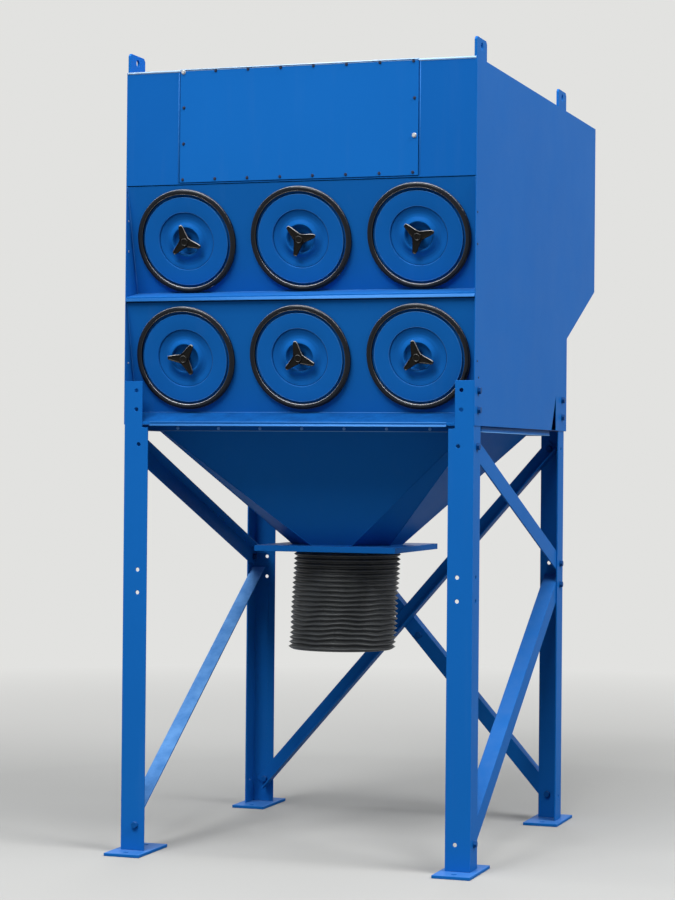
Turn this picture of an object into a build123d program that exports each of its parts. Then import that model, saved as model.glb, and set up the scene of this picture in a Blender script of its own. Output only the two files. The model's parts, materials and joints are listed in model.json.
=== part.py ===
from build123d import *
import math
import os

# Cartridge dust collector: a sheet-steel cabinet with six round access covers, a hopper with a
# flexible drop hose, and four braced angle legs. Millimetres. The model is laid out with Y = 0 on
# the cabinet's front plane and +Y towards the rear, and moved to its own centre at the end.

# Cabinet, from the cabinet's underside up: lower bay, upper bay, band
CAB_BOTTOM = 1730.0
CAB_DEPTH = 2080.0
CAB_LOW_DEPTH = 1530.0
BAND_HEIGHT = 460.0
REAR_WALL_HEIGHT = 765.0
REAR_SLOPE_FALL = 247.0
SHEET = 3.0

# Removable front panel and the opening that it closes
PANEL_SIDE_MARGIN = 235.0
PANEL_FOOT_MARGIN = 7.0
PANEL_LAP = 40.0

# Slanted cover panels, each with a ledge that returns to the front plane
COVER_RECESS = 118.0
LOWER_LIP_HEIGHT = 11.0
LOWER_LEDGE_FALL = 41.0
UPPER_LIP_HEIGHT = 19.0
UPPER_LEDGE_FALL = 23.0
PANEL_HEAD_GAP = 3.0

# Notch in the side panels, ahead of the rear legs
NOTCH_FROM_REAR = 196.0
NOTCH_WIDTH = 81.0
NOTCH_HEIGHT = 155.0

# Access covers
COVER_PITCH = 490.0
UPPER_HEAD_GAP = 14.0
UPPER_FOOT_GAP = 2.0
LOWER_HEAD_GAP = 16.0
LOWER_FOOT_GAP = 15.0
COVER_SHEET = 2.0
RIM_RADIUS = 188.5
RIM_HEIGHT = 10.0
GROOVE_WIDTH = 6.0
GROOVE_HEIGHT = 4.0
DISH_HEIGHT = 15.0
STEP_RADIUS = 116.0
STEP_DEPTH = 11.0
STEP_WIDTH = 7.0
CROWN_RADIUS = 57.0
CROWN_HEIGHT = 20.0
HUB_DEPTH = 22.0
HUB_RADIUS = 51.0
CARTRIDGE_HOLE_RADIUS = 160.0
GASKET_GAP = 0.5
GASKET_TUBE = 11.3
GASKET_LIFT = 9.0
GASKET_SIDES = 7

# Studs and three-wing knobs
STUD_RADIUS = 6.0
STUD_TAIL = 40.0
STUD_PROUD = 4.0
WASHER_RADIUS = 16.0
WASHER_THICKNESS = 3.0
KNOB_GAP = 0.3
KNOB_BOSS_RADIUS = 17.0
KNOB_BOSS_TOP = 14.0
KNOB_CROWN_CLEARANCE = 5.0
KNOB_REACH = 72.0
KNOB_ROOT_WIDTH = 31.0
KNOB_TIP_WIDTH = 13.0
KNOB_ROOT_EDGE = 9.0
KNOB_ROOT_PEAK = 18.0
KNOB_TIP_EDGE = 5.0
KNOB_TIP_PEAK = 9.0
KNOB_TURNS = ((101.0, 11.0, 15.0), (55.0, 98.0, 102.0))

# Hopper and outlet
HOPPER_SIDE_INSET = 50.0
HOPPER_FRONT_INSET = 183.0
HOPPER_REAR_INSET = 421.0
HOPPER_CORNER = 12.0
FLANGE_FRONT = 36.0
FLANGE_SIDE = 38.0
FLANGE_REAR = 155.0
HOPPER_LIP = 22.0
OUTLET_DROP = 491.0
OUTLET_SET_BACK = 487.0
OUTLET_RIM = 13.0
OUTLET_PLATE = 610.0
OUTLET_LIP = 24.0
OUTLET_SHEET = 5.0
OUTLET_HOLE_INSET = 25.0
OUTLET_HOLE_RADIUS = 7.0
COLLAR_RADIUS = 200.0
COLLAR_LENGTH = 95.0

# Corrugated drop hose and its clamp
HOSE_LENGTH = 434.0
HOSE_FIT = 0.3
HOSE_WALL = 3.0
HOSE_CUFF = 26.0
HOSE_FLARE = 6.0
HOSE_RIDGES = 20
HOSE_RIDGE_DEPTH = 17.0
CLAMP_HEIGHT = 14.0
CLAMP_THICKNESS = 1.5

# Legs, foot plates and braces
LEG = 101.6
LEG_THICKNESS = 6.35
LEG_LAP = 175.0
LEG_SHOULDER_DROP = 12.0
LEG_NARROW = 76.0
LEG_REAR_INSET = 33.0
LEG_HOLE_RADIUS = 8.0
LEG_GAUGE = 62.0
SIDE_GAUGE = 50.8
TOP_HOLE_DROP = 38.0
TOP_HOLE_PITCH = 76.0
BRACE_TOP_DROP = 80.0
BRACE_MID_UPPER = 1144.0
BRACE_MID_GAP = 5.9
BRACE_FOOT = 115.0
FOOT_WIDTH = 152.4
FOOT_LENGTH = 295.0
FOOT_THICKNESS = 12.7
FOOT_SIDE_OVERHANG = 28.0
FOOT_END_OVERHANG = 104.0
ANCHOR_RADIUS = 11.0
ANCHOR_INSET = 48.0
BRACE = 76.2
UPPER_BRACE_REACH = 50.8
LOWER_BRACE_REACH = 63.5
CROSS_BRACE = 63.5
BRACE_THICKNESS = 6.35
BRACE_END = 25.0
SPACER_RADIUS = 25.0

# Lifting lugs
LUG_LENGTH = 150.0
LUG_THICKNESS = 10.0
LUG_ABOVE = 80.0
LUG_BELOW = 120.0
LUG_HOLE_RADIUS = 14.0
LUG_HOLE_DROP = 30.0
LUG_CORNER = 12.0

# Derived places
CAB_WIDTH = 3 * COVER_PITCH
COVER_COLUMNS = (-COVER_PITCH, 0.0, COVER_PITCH)
HALF = CAB_WIDTH / 2
INNER = HALF - SHEET
LEG_REAR = CAB_LOW_DEPTH - LEG_REAR_INSET
LEG_INNER = INNER - LEG_THICKNESS
LEG_TOP = CAB_BOTTOM + LEG_LAP
FLOOR_TOP = CAB_BOTTOM + SHEET
GASKET_CENTRE = RIM_RADIUS + GASKET_GAP + GASKET_TUBE
GASKET_RADIUS = GASKET_CENTRE + GASKET_TUBE


def panel_rise(head_gap, foot_gap, head_y):
    """Height of a slanted panel that is as long as a gasket and the gaps at its head and foot."""
    length = 2 * GASKET_RADIUS + head_gap + foot_gap
    return math.sqrt(length ** 2 - (COVER_RECESS - head_y) ** 2)


LOWER_LIP_TOP = CAB_BOTTOM + LOWER_LIP_HEIGHT
LOWER_FOOT = (COVER_RECESS, LOWER_LIP_TOP + LOWER_LEDGE_FALL)
LOWER_HEAD_Y = LEG_THICKNESS + SHEET
LOWER_RISE = panel_rise(LOWER_HEAD_GAP, LOWER_FOOT_GAP, LOWER_HEAD_Y)
LOWER_HEAD = (LOWER_HEAD_Y, LOWER_FOOT[1] + LOWER_RISE)
UPPER_LIP_BOTTOM = LOWER_HEAD[1] + PANEL_HEAD_GAP
UPPER_LIP_TOP = UPPER_LIP_BOTTOM + UPPER_LIP_HEIGHT
UPPER_FOOT = (COVER_RECESS, UPPER_LIP_TOP + UPPER_LEDGE_FALL)
UPPER_RISE = panel_rise(UPPER_HEAD_GAP, UPPER_FOOT_GAP, SHEET)
UPPER_HEAD = (SHEET, UPPER_FOOT[1] + UPPER_RISE)
BAND_BOTTOM = UPPER_HEAD[1] + PANEL_HEAD_GAP
CAB_TOP = BAND_BOTTOM + BAND_HEIGHT
REAR_SLOPE_TOP = CAB_TOP - REAR_WALL_HEIGHT
REAR_SLOPE_BOTTOM = REAR_SLOPE_TOP - REAR_SLOPE_FALL

HOPPER_TOP = CAB_BOTTOM - SHEET
HOPPER_HALF = HALF - HOPPER_SIDE_INSET
HOPPER_FRONT = HOPPER_FRONT_INSET
HOPPER_REAR = CAB_LOW_DEPTH - HOPPER_REAR_INSET
OUTLET_APOTHEM = COLLAR_RADIUS + OUTLET_RIM
OUTLET_Y = HOPPER_FRONT + OUTLET_SET_BACK
OUTLET_TOP = CAB_BOTTOM - OUTLET_DROP
HOSE_BOTTOM = OUTLET_TOP - OUTLET_SHEET - HOSE_LENGTH
LUG_STARTS = (SHEET, LEG_REAR - LUG_LENGTH)
BRACE_TOP = CAB_BOTTOM - BRACE_TOP_DROP
UPPER_BRACE_SLOPE = math.atan2(BRACE_TOP - BRACE_MID_UPPER, LEG_REAR - 2 * SIDE_GAUGE)
BRACE_CORNER_REACH = math.hypot(BRACE_END, BRACE / 2)
BRACE_MID_PITCH = BRACE / 2 / math.cos(UPPER_BRACE_SLOPE) + BRACE_CORNER_REACH + BRACE_MID_GAP
BRACE_MID_LOWER = BRACE_MID_UPPER - BRACE_MID_PITCH
MODEL_FRONT = -FOOT_END_OVERHANG
MODEL_SHIFT = Pos(0, -(MODEL_FRONT + CAB_DEPTH) / 2, 0)


def box(x0, x1, y0, y1, z0, z1):
    """A box between two corners."""
    centre = Pos((x0 + x1) / 2, (y0 + y1) / 2, (z0 + z1) / 2)
    return centre * Box(abs(x1 - x0), abs(y1 - y0), abs(z1 - z0))


def side_plate(points, x0, x1):
    """A plate with its outline in the YZ plane, from x0 to x1."""
    face = Plane.YZ * make_face(Polyline(*points, close=True))
    return Pos(x0, 0, 0) * extrude(face, amount=x1 - x0, dir=(1, 0, 0))


def bent_sheet(points, thickness):
    """The closed outline of a sheet bent along the points, its thickness laid to their left."""
    inner = []
    for i, point in enumerate(points):
        here = Vector(*point)
        turns = []
        if i > 0:
            turns.append((here - Vector(*points[i - 1])).normalized())
        if i < len(points) - 1:
            turns.append((Vector(*points[i + 1]) - here).normalized())
        normals = [Vector(-t.Y, t.X) for t in turns]
        middle = sum(normals, Vector(0, 0)).normalized()
        reach = thickness / middle.dot(normals[0])
        inner.append(here + middle * reach)
    return points + [(p.X, p.Y) for p in reversed(inner)]


def plate_between(outer, inner):
    """A flat plate whose two faces are the outer and the inner polygon, corner to corner."""
    faces = [Face(Wire.make_polygon(outer)), Face(Wire.make_polygon(inner))]
    for i in range(len(outer)):
        j = (i + 1) % len(outer)
        faces.append(Face(Wire.make_polygon([outer[i], outer[j], inner[j], inner[i]])))
    return Solid(Shell(faces))


# Cover panels. Each one is worked out once, because the covers, gaskets, studs and knobs sit on it.

def cover_plane(row, column):
    """The plane on a slanted panel's face at one cover's centre, with Z pointing outwards."""
    if row == 0:
        head, foot, foot_gap = UPPER_HEAD, UPPER_FOOT, UPPER_FOOT_GAP
    else:
        head, foot, foot_gap = LOWER_HEAD, LOWER_FOOT, LOWER_FOOT_GAP
    up = Vector(0, head[0] - foot[0], head[1] - foot[1]).normalized()
    centre = Vector(COVER_COLUMNS[column], foot[0], foot[1]) + up * (GASKET_RADIUS + foot_gap)
    return Plane(origin=centre, x_dir=(1, 0, 0), z_dir=Vector(1, 0, 0).cross(up))


def cover_panel(row):
    """A slanted panel with three cartridge holes, its ledge and its front lip, from one sheet."""
    if row == 0:
        line = [UPPER_HEAD, UPPER_FOOT, (0, UPPER_LIP_TOP), (0, UPPER_LIP_BOTTOM)]
    else:
        line = [LOWER_HEAD, LOWER_FOOT, (LEG_THICKNESS, LOWER_LIP_TOP), (LEG_THICKNESS, FLOOR_TOP)]
    panel = side_plate(bent_sheet(line, SHEET), -INNER, INNER)
    for column in range(3):
        panel -= cover_plane(row, column) * Cylinder(CARTRIDGE_HOLE_RADIUS, 4 * SHEET)
    if row == 1:
        panel -= leg_envelopes()
    return panel


# Access covers, gaskets, studs and knobs, each drawn about Z and placed on a cover plane.

def hub_height():
    """Height of the sunk hub's face above the panel."""
    return CROWN_HEIGHT - HUB_DEPTH


def cover_dish():
    """The pressed cover: rim, groove, flat ring, step down, cone rising to a sunk hub."""
    t = COVER_SHEET
    hub = hub_height()
    step_foot = STEP_RADIUS - STEP_WIDTH
    low = DISH_HEIGHT - STEP_DEPTH
    dish = RIM_RADIUS - t - GROOVE_WIDTH
    outer = [
        (RIM_RADIUS, 0), (RIM_RADIUS, RIM_HEIGHT), (RIM_RADIUS - t, RIM_HEIGHT),
        (RIM_RADIUS - t, GROOVE_HEIGHT), (dish, GROOVE_HEIGHT), (dish, DISH_HEIGHT - t),
        (dish - t, DISH_HEIGHT), (STEP_RADIUS, DISH_HEIGHT), (step_foot, low),
        (CROWN_RADIUS, CROWN_HEIGHT), (HUB_RADIUS, hub), (STUD_RADIUS, hub),
    ]
    inner = [
        (STUD_RADIUS, hub - t), (HUB_RADIUS + t, hub - t), (CROWN_RADIUS + t, CROWN_HEIGHT - 2 * t),
        (step_foot - t, low - t), (STEP_RADIUS, DISH_HEIGHT - t), (dish - t, DISH_HEIGHT - 2 * t),
        (dish - t, 0),
    ]
    return revolve(Plane.XZ * make_face(Polyline(*outer, *inner, close=True)), Axis.Z)


def gasket_ring():
    """A near-round rubber seal outside the cover's rim, flat where it lies on the panel."""
    foot_angle = math.asin(GASKET_LIFT / GASKET_TUBE)
    sweep = (2 * math.pi - (math.pi - 2 * foot_angle)) / (GASKET_SIDES - 1)
    section = []
    for i in range(GASKET_SIDES):
        angle = i * sweep - foot_angle
        radius = GASKET_CENTRE + GASKET_TUBE * math.cos(angle)
        section.append((radius, GASKET_LIFT + GASKET_TUBE * math.sin(angle)))
    return revolve(Plane.XZ * make_face(Polyline(*section, close=True)), Axis.Z)


def cover_stud():
    """Threaded stud through the hub and the knob, with a washer that lies on the hub."""
    low = hub_height() - STUD_TAIL
    high = CROWN_HEIGHT + KNOB_CROWN_CLEARANCE + KNOB_BOSS_TOP + STUD_PROUD
    shank = Pos(0, 0, (low + high) / 2) * Cylinder(STUD_RADIUS, high - low)
    washer = Pos(0, 0, hub_height() + WASHER_THICKNESS / 2) * Cylinder(WASHER_RADIUS, WASHER_THICKNESS)
    return shank + washer


def wing_section(reach, width, edge, peak):
    """A wing's cross-section at a distance from the knob's centre: a low gable."""
    half = width / 2
    outline = Polyline((-half, 0), (half, 0), (half, edge), (0, peak), (-half, edge), close=True)
    return Pos(reach, 0, 0) * (Plane.YZ * make_face(outline))


def knob():
    """Three-wing knob: tapered wings that clear the cover's crown, on a boss bored for the stud."""
    foot = hub_height() + WASHER_THICKNESS + KNOB_GAP
    wing_foot = CROWN_HEIGHT + KNOB_CROWN_CLEARANCE
    top = wing_foot + KNOB_BOSS_TOP
    body = Pos(0, 0, (foot + top) / 2) * Cylinder(KNOB_BOSS_RADIUS, top - foot)
    root = wing_section(0, KNOB_ROOT_WIDTH, KNOB_ROOT_EDGE, KNOB_ROOT_PEAK)
    tip = wing_section(KNOB_REACH, KNOB_TIP_WIDTH, KNOB_TIP_EDGE, KNOB_TIP_PEAK)
    wing = loft([root, tip], ruled=True)
    for turn in (0, 120, 240):
        body += Pos(0, 0, wing_foot) * Rot(0, 0, turn) * wing
    return body - Pos(0, 0, wing_foot) * Cylinder(STUD_RADIUS + KNOB_GAP, 4 * top)


# Cabinet sheets

def leg_envelopes():
    """The space that the four legs take inside the cabinet, cut from what they pass."""
    pieces = []
    for side in (-1, 1):
        for y0, y1 in ((0, LEG), (LEG_REAR - LEG, LEG_REAR)):
            inner_y = LEG_THICKNESS if y0 == 0 else LEG_REAR - LEG_THICKNESS
            edge_y = y0 if y0 == 0 else y1
            pieces.append(box(side * LEG_INNER, side * INNER, y0, y1, CAB_BOTTOM - LEG, LEG_TOP))
            pieces.append(box(side * (INNER - LEG), side * INNER, edge_y, inner_y, CAB_BOTTOM - LEG, LEG_TOP))
    return pieces


def top_hole_heights():
    """Heights of the two holes through each leg and its side panel."""
    upper = LEG_TOP - TOP_HOLE_DROP
    return upper, upper - TOP_HOLE_PITCH


def side_panel(side):
    """Side sheet with the rear cut-back and the notch ahead of the rear leg."""
    notch = CAB_LOW_DEPTH - NOTCH_FROM_REAR
    outline = [
        (0, CAB_BOTTOM), (0, CAB_TOP), (CAB_DEPTH, CAB_TOP), (CAB_DEPTH, REAR_SLOPE_TOP),
        (CAB_LOW_DEPTH, REAR_SLOPE_BOTTOM), (CAB_LOW_DEPTH, CAB_BOTTOM), (notch, CAB_BOTTOM),
        (notch, CAB_BOTTOM + NOTCH_HEIGHT), (notch - NOTCH_WIDTH, CAB_BOTTOM),
    ]
    panel = side_plate(outline, INNER, HALF)
    for y in (SIDE_GAUGE, LEG_REAR - SIDE_GAUGE):
        for z in top_hole_heights():
            panel -= Pos(HALF, y, z) * Rot(0, 90, 0) * Cylinder(LEG_HOLE_RADIUS, 4 * SHEET)
    return panel if side > 0 else mirror(panel, Plane.YZ)


def roof_panel():
    """Flat roof between the side panels, slotted for the lifting lugs."""
    roof = box(-INNER, INNER, 0, CAB_DEPTH, CAB_TOP - SHEET, CAB_TOP)
    for side in (-1, 1):
        for start in LUG_STARTS:
            roof -= box(side * (INNER - LUG_THICKNESS), side * INNER, start, start + LUG_LENGTH,
                        CAB_TOP - LUG_BELOW, CAB_TOP + LUG_ABOVE)
    return roof


def front_band():
    """Upper front sheet with the opening behind the removable panel."""
    band = box(-INNER, INNER, 0, SHEET, BAND_BOTTOM, CAB_TOP - SHEET)
    half = HALF - PANEL_SIDE_MARGIN - PANEL_LAP
    low = BAND_BOTTOM + PANEL_FOOT_MARGIN + PANEL_LAP
    return band - box(-half, half, -SHEET, 2 * SHEET, low, CAB_TOP - PANEL_LAP)


def front_access_panel():
    """Removable sheet lapped over the band's opening, up to the roof."""
    half = HALF - PANEL_SIDE_MARGIN
    return box(-half, half, -SHEET, 0, BAND_BOTTOM + PANEL_FOOT_MARGIN, CAB_TOP)


def rear_sheets():
    """Upper wall, sloping sheet and lower wall at the rear, mitred where they meet."""
    line = [
        (CAB_LOW_DEPTH, FLOOR_TOP), (CAB_LOW_DEPTH, REAR_SLOPE_BOTTOM),
        (CAB_DEPTH, REAR_SLOPE_TOP), (CAB_DEPTH, CAB_TOP - SHEET),
    ]
    profile = bent_sheet(line, SHEET)
    count = len(line)
    names = ("rear_wall_lower", "rear_slope_panel", "rear_wall_upper")
    sheets = {}
    for i, name in enumerate(names):
        corners = [profile[i], profile[i + 1], profile[2 * count - 2 - i], profile[2 * count - 1 - i]]
        sheets[name] = side_plate(corners, -INNER, INNER)
    return sheets


def cabinet_floor():
    """Floor sheet with the hopper's opening, cut round the legs."""
    floor = box(-INNER, INNER, LEG_THICKNESS, CAB_LOW_DEPTH, CAB_BOTTOM, FLOOR_TOP)
    return floor - hopper_mouth() - leg_envelopes()


def hopper_mouth():
    """The space of the opening that the floor and the hopper's flange share."""
    half = HOPPER_HALF - HOPPER_CORNER
    front = HOPPER_FRONT + HOPPER_CORNER
    rear = HOPPER_REAR - HOPPER_CORNER
    return box(-half, half, front, rear, HOPPER_TOP - SHEET, FLOOR_TOP + SHEET)


def lifting_lugs():
    """Four plates inside the side panels, standing above the roof, each with a hole."""
    lugs = []
    for side in (-1, 1):
        for start in LUG_STARTS:
            top = CAB_TOP + LUG_ABOVE
            low = CAB_TOP - LUG_BELOW
            end = start + LUG_LENGTH
            outline = [
                (start, low), (end, low), (end, top - LUG_CORNER), (end - LUG_CORNER, top),
                (start + LUG_CORNER, top), (start, top - LUG_CORNER),
            ]
            plate = side_plate(outline, INNER - LUG_THICKNESS, INNER)
            hole = Pos(INNER, (start + end) / 2, top - LUG_HOLE_DROP) * Rot(0, 90, 0)
            plate -= hole * Cylinder(LUG_HOLE_RADIUS, 4 * LUG_THICKNESS)
            lugs.append(plate if side > 0 else mirror(plate, Plane.YZ))
    return lugs


# Hopper and outlet

def eight_sided(left, right, front, rear, corner, z):
    """Corners of a rectangle with its corners cut off, from the front left, as points."""
    ring = [
        (left + corner, front), (right - corner, front), (right, front + corner), (right, rear - corner),
        (right - corner, rear), (left + corner, rear), (left, rear - corner), (left, front + corner),
    ]
    return [Vector(x, y, z) for x, y in ring]


def hopper_plates():
    """Eight sloping plates from the rectangular top to the eight-sided outlet, mitred."""
    a = OUTLET_APOTHEM
    corner = a * (2 - math.sqrt(2))
    top = eight_sided(-HOPPER_HALF, HOPPER_HALF, HOPPER_FRONT, HOPPER_REAR, HOPPER_CORNER, HOPPER_TOP)
    low = eight_sided(-a, a, OUTLET_Y - a, OUTLET_Y + a, corner, OUTLET_TOP)
    planes = []
    for i in range(8):
        j = (i + 1) % 8
        normal = (top[j] - top[i]).cross(low[i] - top[i]).normalized()
        if normal.Z > 0:
            normal = -normal
        planes.append((top[i] - normal * SHEET, normal))

    def inner_corner(i, z):
        first, n1 = planes[(i - 1) % 8]
        second, n2 = planes[i]
        d1 = first.dot(n1) - n1.Z * z
        d2 = second.dot(n2) - n2.Z * z
        det = n1.X * n2.Y - n1.Y * n2.X
        return Vector((d1 * n2.Y - d2 * n1.Y) / det, (n1.X * d2 - n2.X * d1) / det, z)

    plates = []
    for i in range(8):
        j = (i + 1) % 8
        outer = [top[i], top[j], low[j], low[i]]
        inner = [inner_corner(i, HOPPER_TOP), inner_corner(j, HOPPER_TOP),
                 inner_corner(j, OUTLET_TOP), inner_corner(i, OUTLET_TOP)]
        plates.append(plate_between(outer, inner))
    return plates


def hopper_top_flange():
    """Flat rim under the cabinet floor with a downturned lip."""
    half = HOPPER_HALF + FLANGE_SIDE
    front = HOPPER_FRONT - FLANGE_FRONT
    rear = HOPPER_REAR + FLANGE_REAR
    low = CAB_BOTTOM - HOPPER_LIP
    rim = box(-half, half, front, rear, low, CAB_BOTTOM)
    rim -= box(-half + SHEET, half - SHEET, front + SHEET, rear - SHEET, low - SHEET, HOPPER_TOP)
    return rim - hopper_mouth()


def outlet_flange():
    """Square plate under the hopper with a downturned lip, a round bore and four holes."""
    half = OUTLET_PLATE / 2
    y = OUTLET_Y
    plate = box(-half, half, y - half, y + half, OUTLET_TOP - OUTLET_LIP, OUTLET_TOP)
    inner = half - OUTLET_SHEET
    plate -= box(-inner, inner, y - inner, y + inner, OUTLET_TOP - 2 * OUTLET_LIP, OUTLET_TOP - OUTLET_SHEET)
    plate -= Pos(0, y, OUTLET_TOP) * Cylinder(COLLAR_RADIUS, 4 * OUTLET_SHEET)
    reach = half - OUTLET_HOLE_INSET
    for x in (-reach, reach):
        for side in (-reach, reach):
            plate -= Pos(x, y + side, OUTLET_TOP) * Cylinder(OUTLET_HOLE_RADIUS, 4 * OUTLET_SHEET)
    return plate


def outlet_collar():
    """Round spigot in the outlet plate that the hose is clamped to."""
    ring = Cylinder(COLLAR_RADIUS, COLLAR_LENGTH) - Cylinder(COLLAR_RADIUS - SHEET, 2 * COLLAR_LENGTH)
    return Pos(0, OUTLET_Y, OUTLET_TOP - COLLAR_LENGTH / 2) * ring


def drop_hose():
    """Hose with a plain bore: a cuff on the spigot, and sharp ridges from there to its end."""
    top = OUTLET_TOP - OUTLET_SHEET
    bore = COLLAR_RADIUS + HOSE_FIT
    cuff = bore + HOSE_WALL
    valley = cuff + HOSE_FLARE
    pitch = (HOSE_LENGTH - HOSE_CUFF) / HOSE_RIDGES
    outline = [(bore, top), (cuff, top), (cuff, top - HOSE_CUFF), (valley, top - HOSE_CUFF)]
    for i in range(HOSE_RIDGES):
        z = top - HOSE_CUFF - i * pitch
        outline += [(valley + HOSE_RIDGE_DEPTH, z - pitch / 2), (valley, z - pitch)]
    outline.append((bore, HOSE_BOTTOM))
    hose = revolve(Plane.XZ * make_face(Polyline(*outline, close=True)), Axis.Z)
    return Pos(0, OUTLET_Y, 0) * hose


def hose_clamp():
    """Flat band round the hose's cuff."""
    inside = COLLAR_RADIUS + HOSE_FIT + HOSE_WALL
    ring = Cylinder(inside + CLAMP_THICKNESS, CLAMP_HEIGHT) - Cylinder(inside, 2 * CLAMP_HEIGHT)
    return Pos(0, OUTLET_Y, OUTLET_TOP - OUTLET_SHEET - HOSE_CUFF / 2) * ring


# Legs, feet and braces

def flange_holes(gauge):
    """Distances from the leg's corner and heights of the holes in one flange."""
    lower = [(gauge, z) for z in (BRACE_TOP, BRACE_MID_UPPER, BRACE_MID_LOWER, BRACE_FOOT)]
    return lower + [(SIDE_GAUGE, z) for z in top_hole_heights()]


def front_right_leg():
    """Angle leg with its corner at the front right, its front flange cut back at the top."""
    x0 = INNER - LEG
    shoulder = CAB_BOTTOM - LEG_SHOULDER_DROP
    front = box(x0, INNER, 0, LEG_THICKNESS, FOOT_THICKNESS, LEG_TOP)
    side = box(LEG_INNER, INNER, 0, LEG, FOOT_THICKNESS, LEG_TOP)
    leg = front + side
    leg -= box(x0 - LEG, INNER - LEG_NARROW, -LEG, LEG_THICKNESS + SHEET, shoulder, LEG_TOP + LEG)
    for gauge, z in flange_holes(LEG_GAUGE):
        leg -= Pos(INNER - gauge, 0, z) * Rot(90, 0, 0) * Cylinder(LEG_HOLE_RADIUS, 4 * LEG_THICKNESS)
    for gauge, z in flange_holes(SIDE_GAUGE):
        leg -= Pos(INNER, gauge, z) * Rot(0, 90, 0) * Cylinder(LEG_HOLE_RADIUS, 4 * LEG_THICKNESS)
    return leg


def legs():
    """The four legs, mirrored about the centre plane and about the frame's middle."""
    front_right = front_right_leg()
    middle = Plane.XZ.offset(-LEG_REAR / 2)
    rear_right = mirror(front_right, middle)
    return {
        "leg_front_right": front_right,
        "leg_front_left": mirror(front_right, Plane.YZ),
        "leg_rear_right": rear_right,
        "leg_rear_left": mirror(rear_right, Plane.YZ),
    }


def foot_plates():
    """Four base plates, each with an anchor hole ahead of and behind its leg."""
    plates = []
    outer = INNER + FOOT_SIDE_OVERHANG
    inner = outer - FOOT_WIDTH
    starts = (MODEL_FRONT, LEG_REAR + FOOT_END_OVERHANG - FOOT_LENGTH)
    for side in (-1, 1):
        for start in starts:
            plate = box(side * inner, side * outer, start, start + FOOT_LENGTH, 0, FOOT_THICKNESS)
            for y in (start + ANCHOR_INSET, start + FOOT_LENGTH - ANCHOR_INSET):
                place = Pos(side * (inner + outer) / 2, y, 0)
                plate -= place * Cylinder(ANCHOR_RADIUS, 4 * FOOT_THICKNESS)
            plates.append(plate)
    return plates


def angle_bar(length, size, reach):
    """Angle bar along X, bolted through its flat flange at Y = 0, with a rising flange at +Y."""
    t = BRACE_THICKNESS
    half = size / 2
    flat = box(-BRACE_END, length + BRACE_END, -half, half, 0, t)
    rising = box(-BRACE_END, length + BRACE_END, half - t, half, 0, reach)
    bar = flat + rising
    for x in (0, length):
        bar -= Pos(x, 0, 0) * Cylinder(LEG_HOLE_RADIUS, 4 * t)
    return bar


def bar_between(start, end, facing, size, reach):
    """An angle bar from bolt to bolt. Its flat flange's back is on the bolts, facing as given."""
    start = Vector(*start)
    end = Vector(*end)
    along = (end - start).normalized()
    place = Plane(origin=start, x_dir=along, z_dir=facing)
    return place * angle_bar((end - start).length, size, reach)


def side_braces():
    """Two bars on each side, their upper flanges turned inwards."""
    front = SIDE_GAUGE
    rear = LEG_REAR - SIDE_GAUGE
    levels = (("upper", BRACE_TOP, BRACE_MID_UPPER, UPPER_BRACE_REACH),
              ("lower", BRACE_FOOT, BRACE_MID_LOWER, LOWER_BRACE_REACH))
    bars = {}
    for side, name in ((1, "right"), (-1, "left")):
        x = side * LEG_INNER
        for level, front_z, rear_z, reach in levels:
            ends = [(x, front, front_z), (x, rear, rear_z)]
            start, end = reversed(ends) if side > 0 else ends
            bars[f"brace_{name}_{level}"] = bar_between(start, end, (-side, 0, 0), BRACE, reach)
    return bars


def rear_braces():
    """Two crossing bars between the rear legs, one on each face of the legs' rear flanges."""
    x = INNER - LEG_GAUGE
    front_face = LEG_REAR - LEG_THICKNESS
    inner = bar_between((x, front_face, BRACE_TOP), (-x, front_face, BRACE_FOOT), (0, -1, 0),
                        CROSS_BRACE, CROSS_BRACE)
    outer = bar_between((x, LEG_REAR, BRACE_FOOT), (-x, LEG_REAR, BRACE_TOP), (0, 1, 0),
                        CROSS_BRACE, CROSS_BRACE)
    spacer = Pos(0, (front_face + LEG_REAR) / 2, (BRACE_TOP + BRACE_FOOT) / 2) * Rot(90, 0, 0)
    inner += spacer * Cylinder(SPACER_RADIUS, LEG_THICKNESS)
    return {"cross_brace_inner": inner, "cross_brace_outer": outer}


def all_nodes():
    """Every named piece in its place."""
    nodes = {
        "side_panel_left": side_panel(-1),
        "side_panel_right": side_panel(1),
        "roof_panel": roof_panel(),
        "front_band": front_band(),
        "front_access_panel": front_access_panel(),
        "cover_panel_upper": cover_panel(0),
        "cover_panel_lower": cover_panel(1),
        "cabinet_floor": cabinet_floor(),
        "lifting_lugs": lifting_lugs(),
        "hopper_top_flange": hopper_top_flange(),
        "outlet_flange": outlet_flange(),
        "outlet_collar": outlet_collar(),
        "drop_hose": drop_hose(),
        "hose_clamp": hose_clamp(),
        "foot_plates": foot_plates(),
    }
    nodes.update(rear_sheets())
    nodes.update(legs())
    nodes.update(side_braces())
    nodes.update(rear_braces())
    plates = hopper_plates()
    for i, name in enumerate(("front", "right", "rear", "left")):
        nodes[f"hopper_{name}"] = plates[2 * i]
    nodes["hopper_corners"] = [plates[i] for i in (1, 3, 5, 7)]
    gaskets = []
    studs = []
    for row, row_name in enumerate(("upper", "lower")):
        for column, column_name in enumerate(("left", "middle", "right")):
            place = cover_plane(row, column).location
            name = f"{row_name}_{column_name}"
            nodes[f"cover_{name}"] = place * cover_dish()
            nodes[f"knob_{name}"] = place * Rot(0, 0, KNOB_TURNS[row][column]) * knob()
            gaskets.append(place * gasket_ring())
            studs.append(place * cover_stud())
    nodes["cover_gaskets"] = gaskets
    nodes["cover_studs"] = studs
    return nodes


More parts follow.
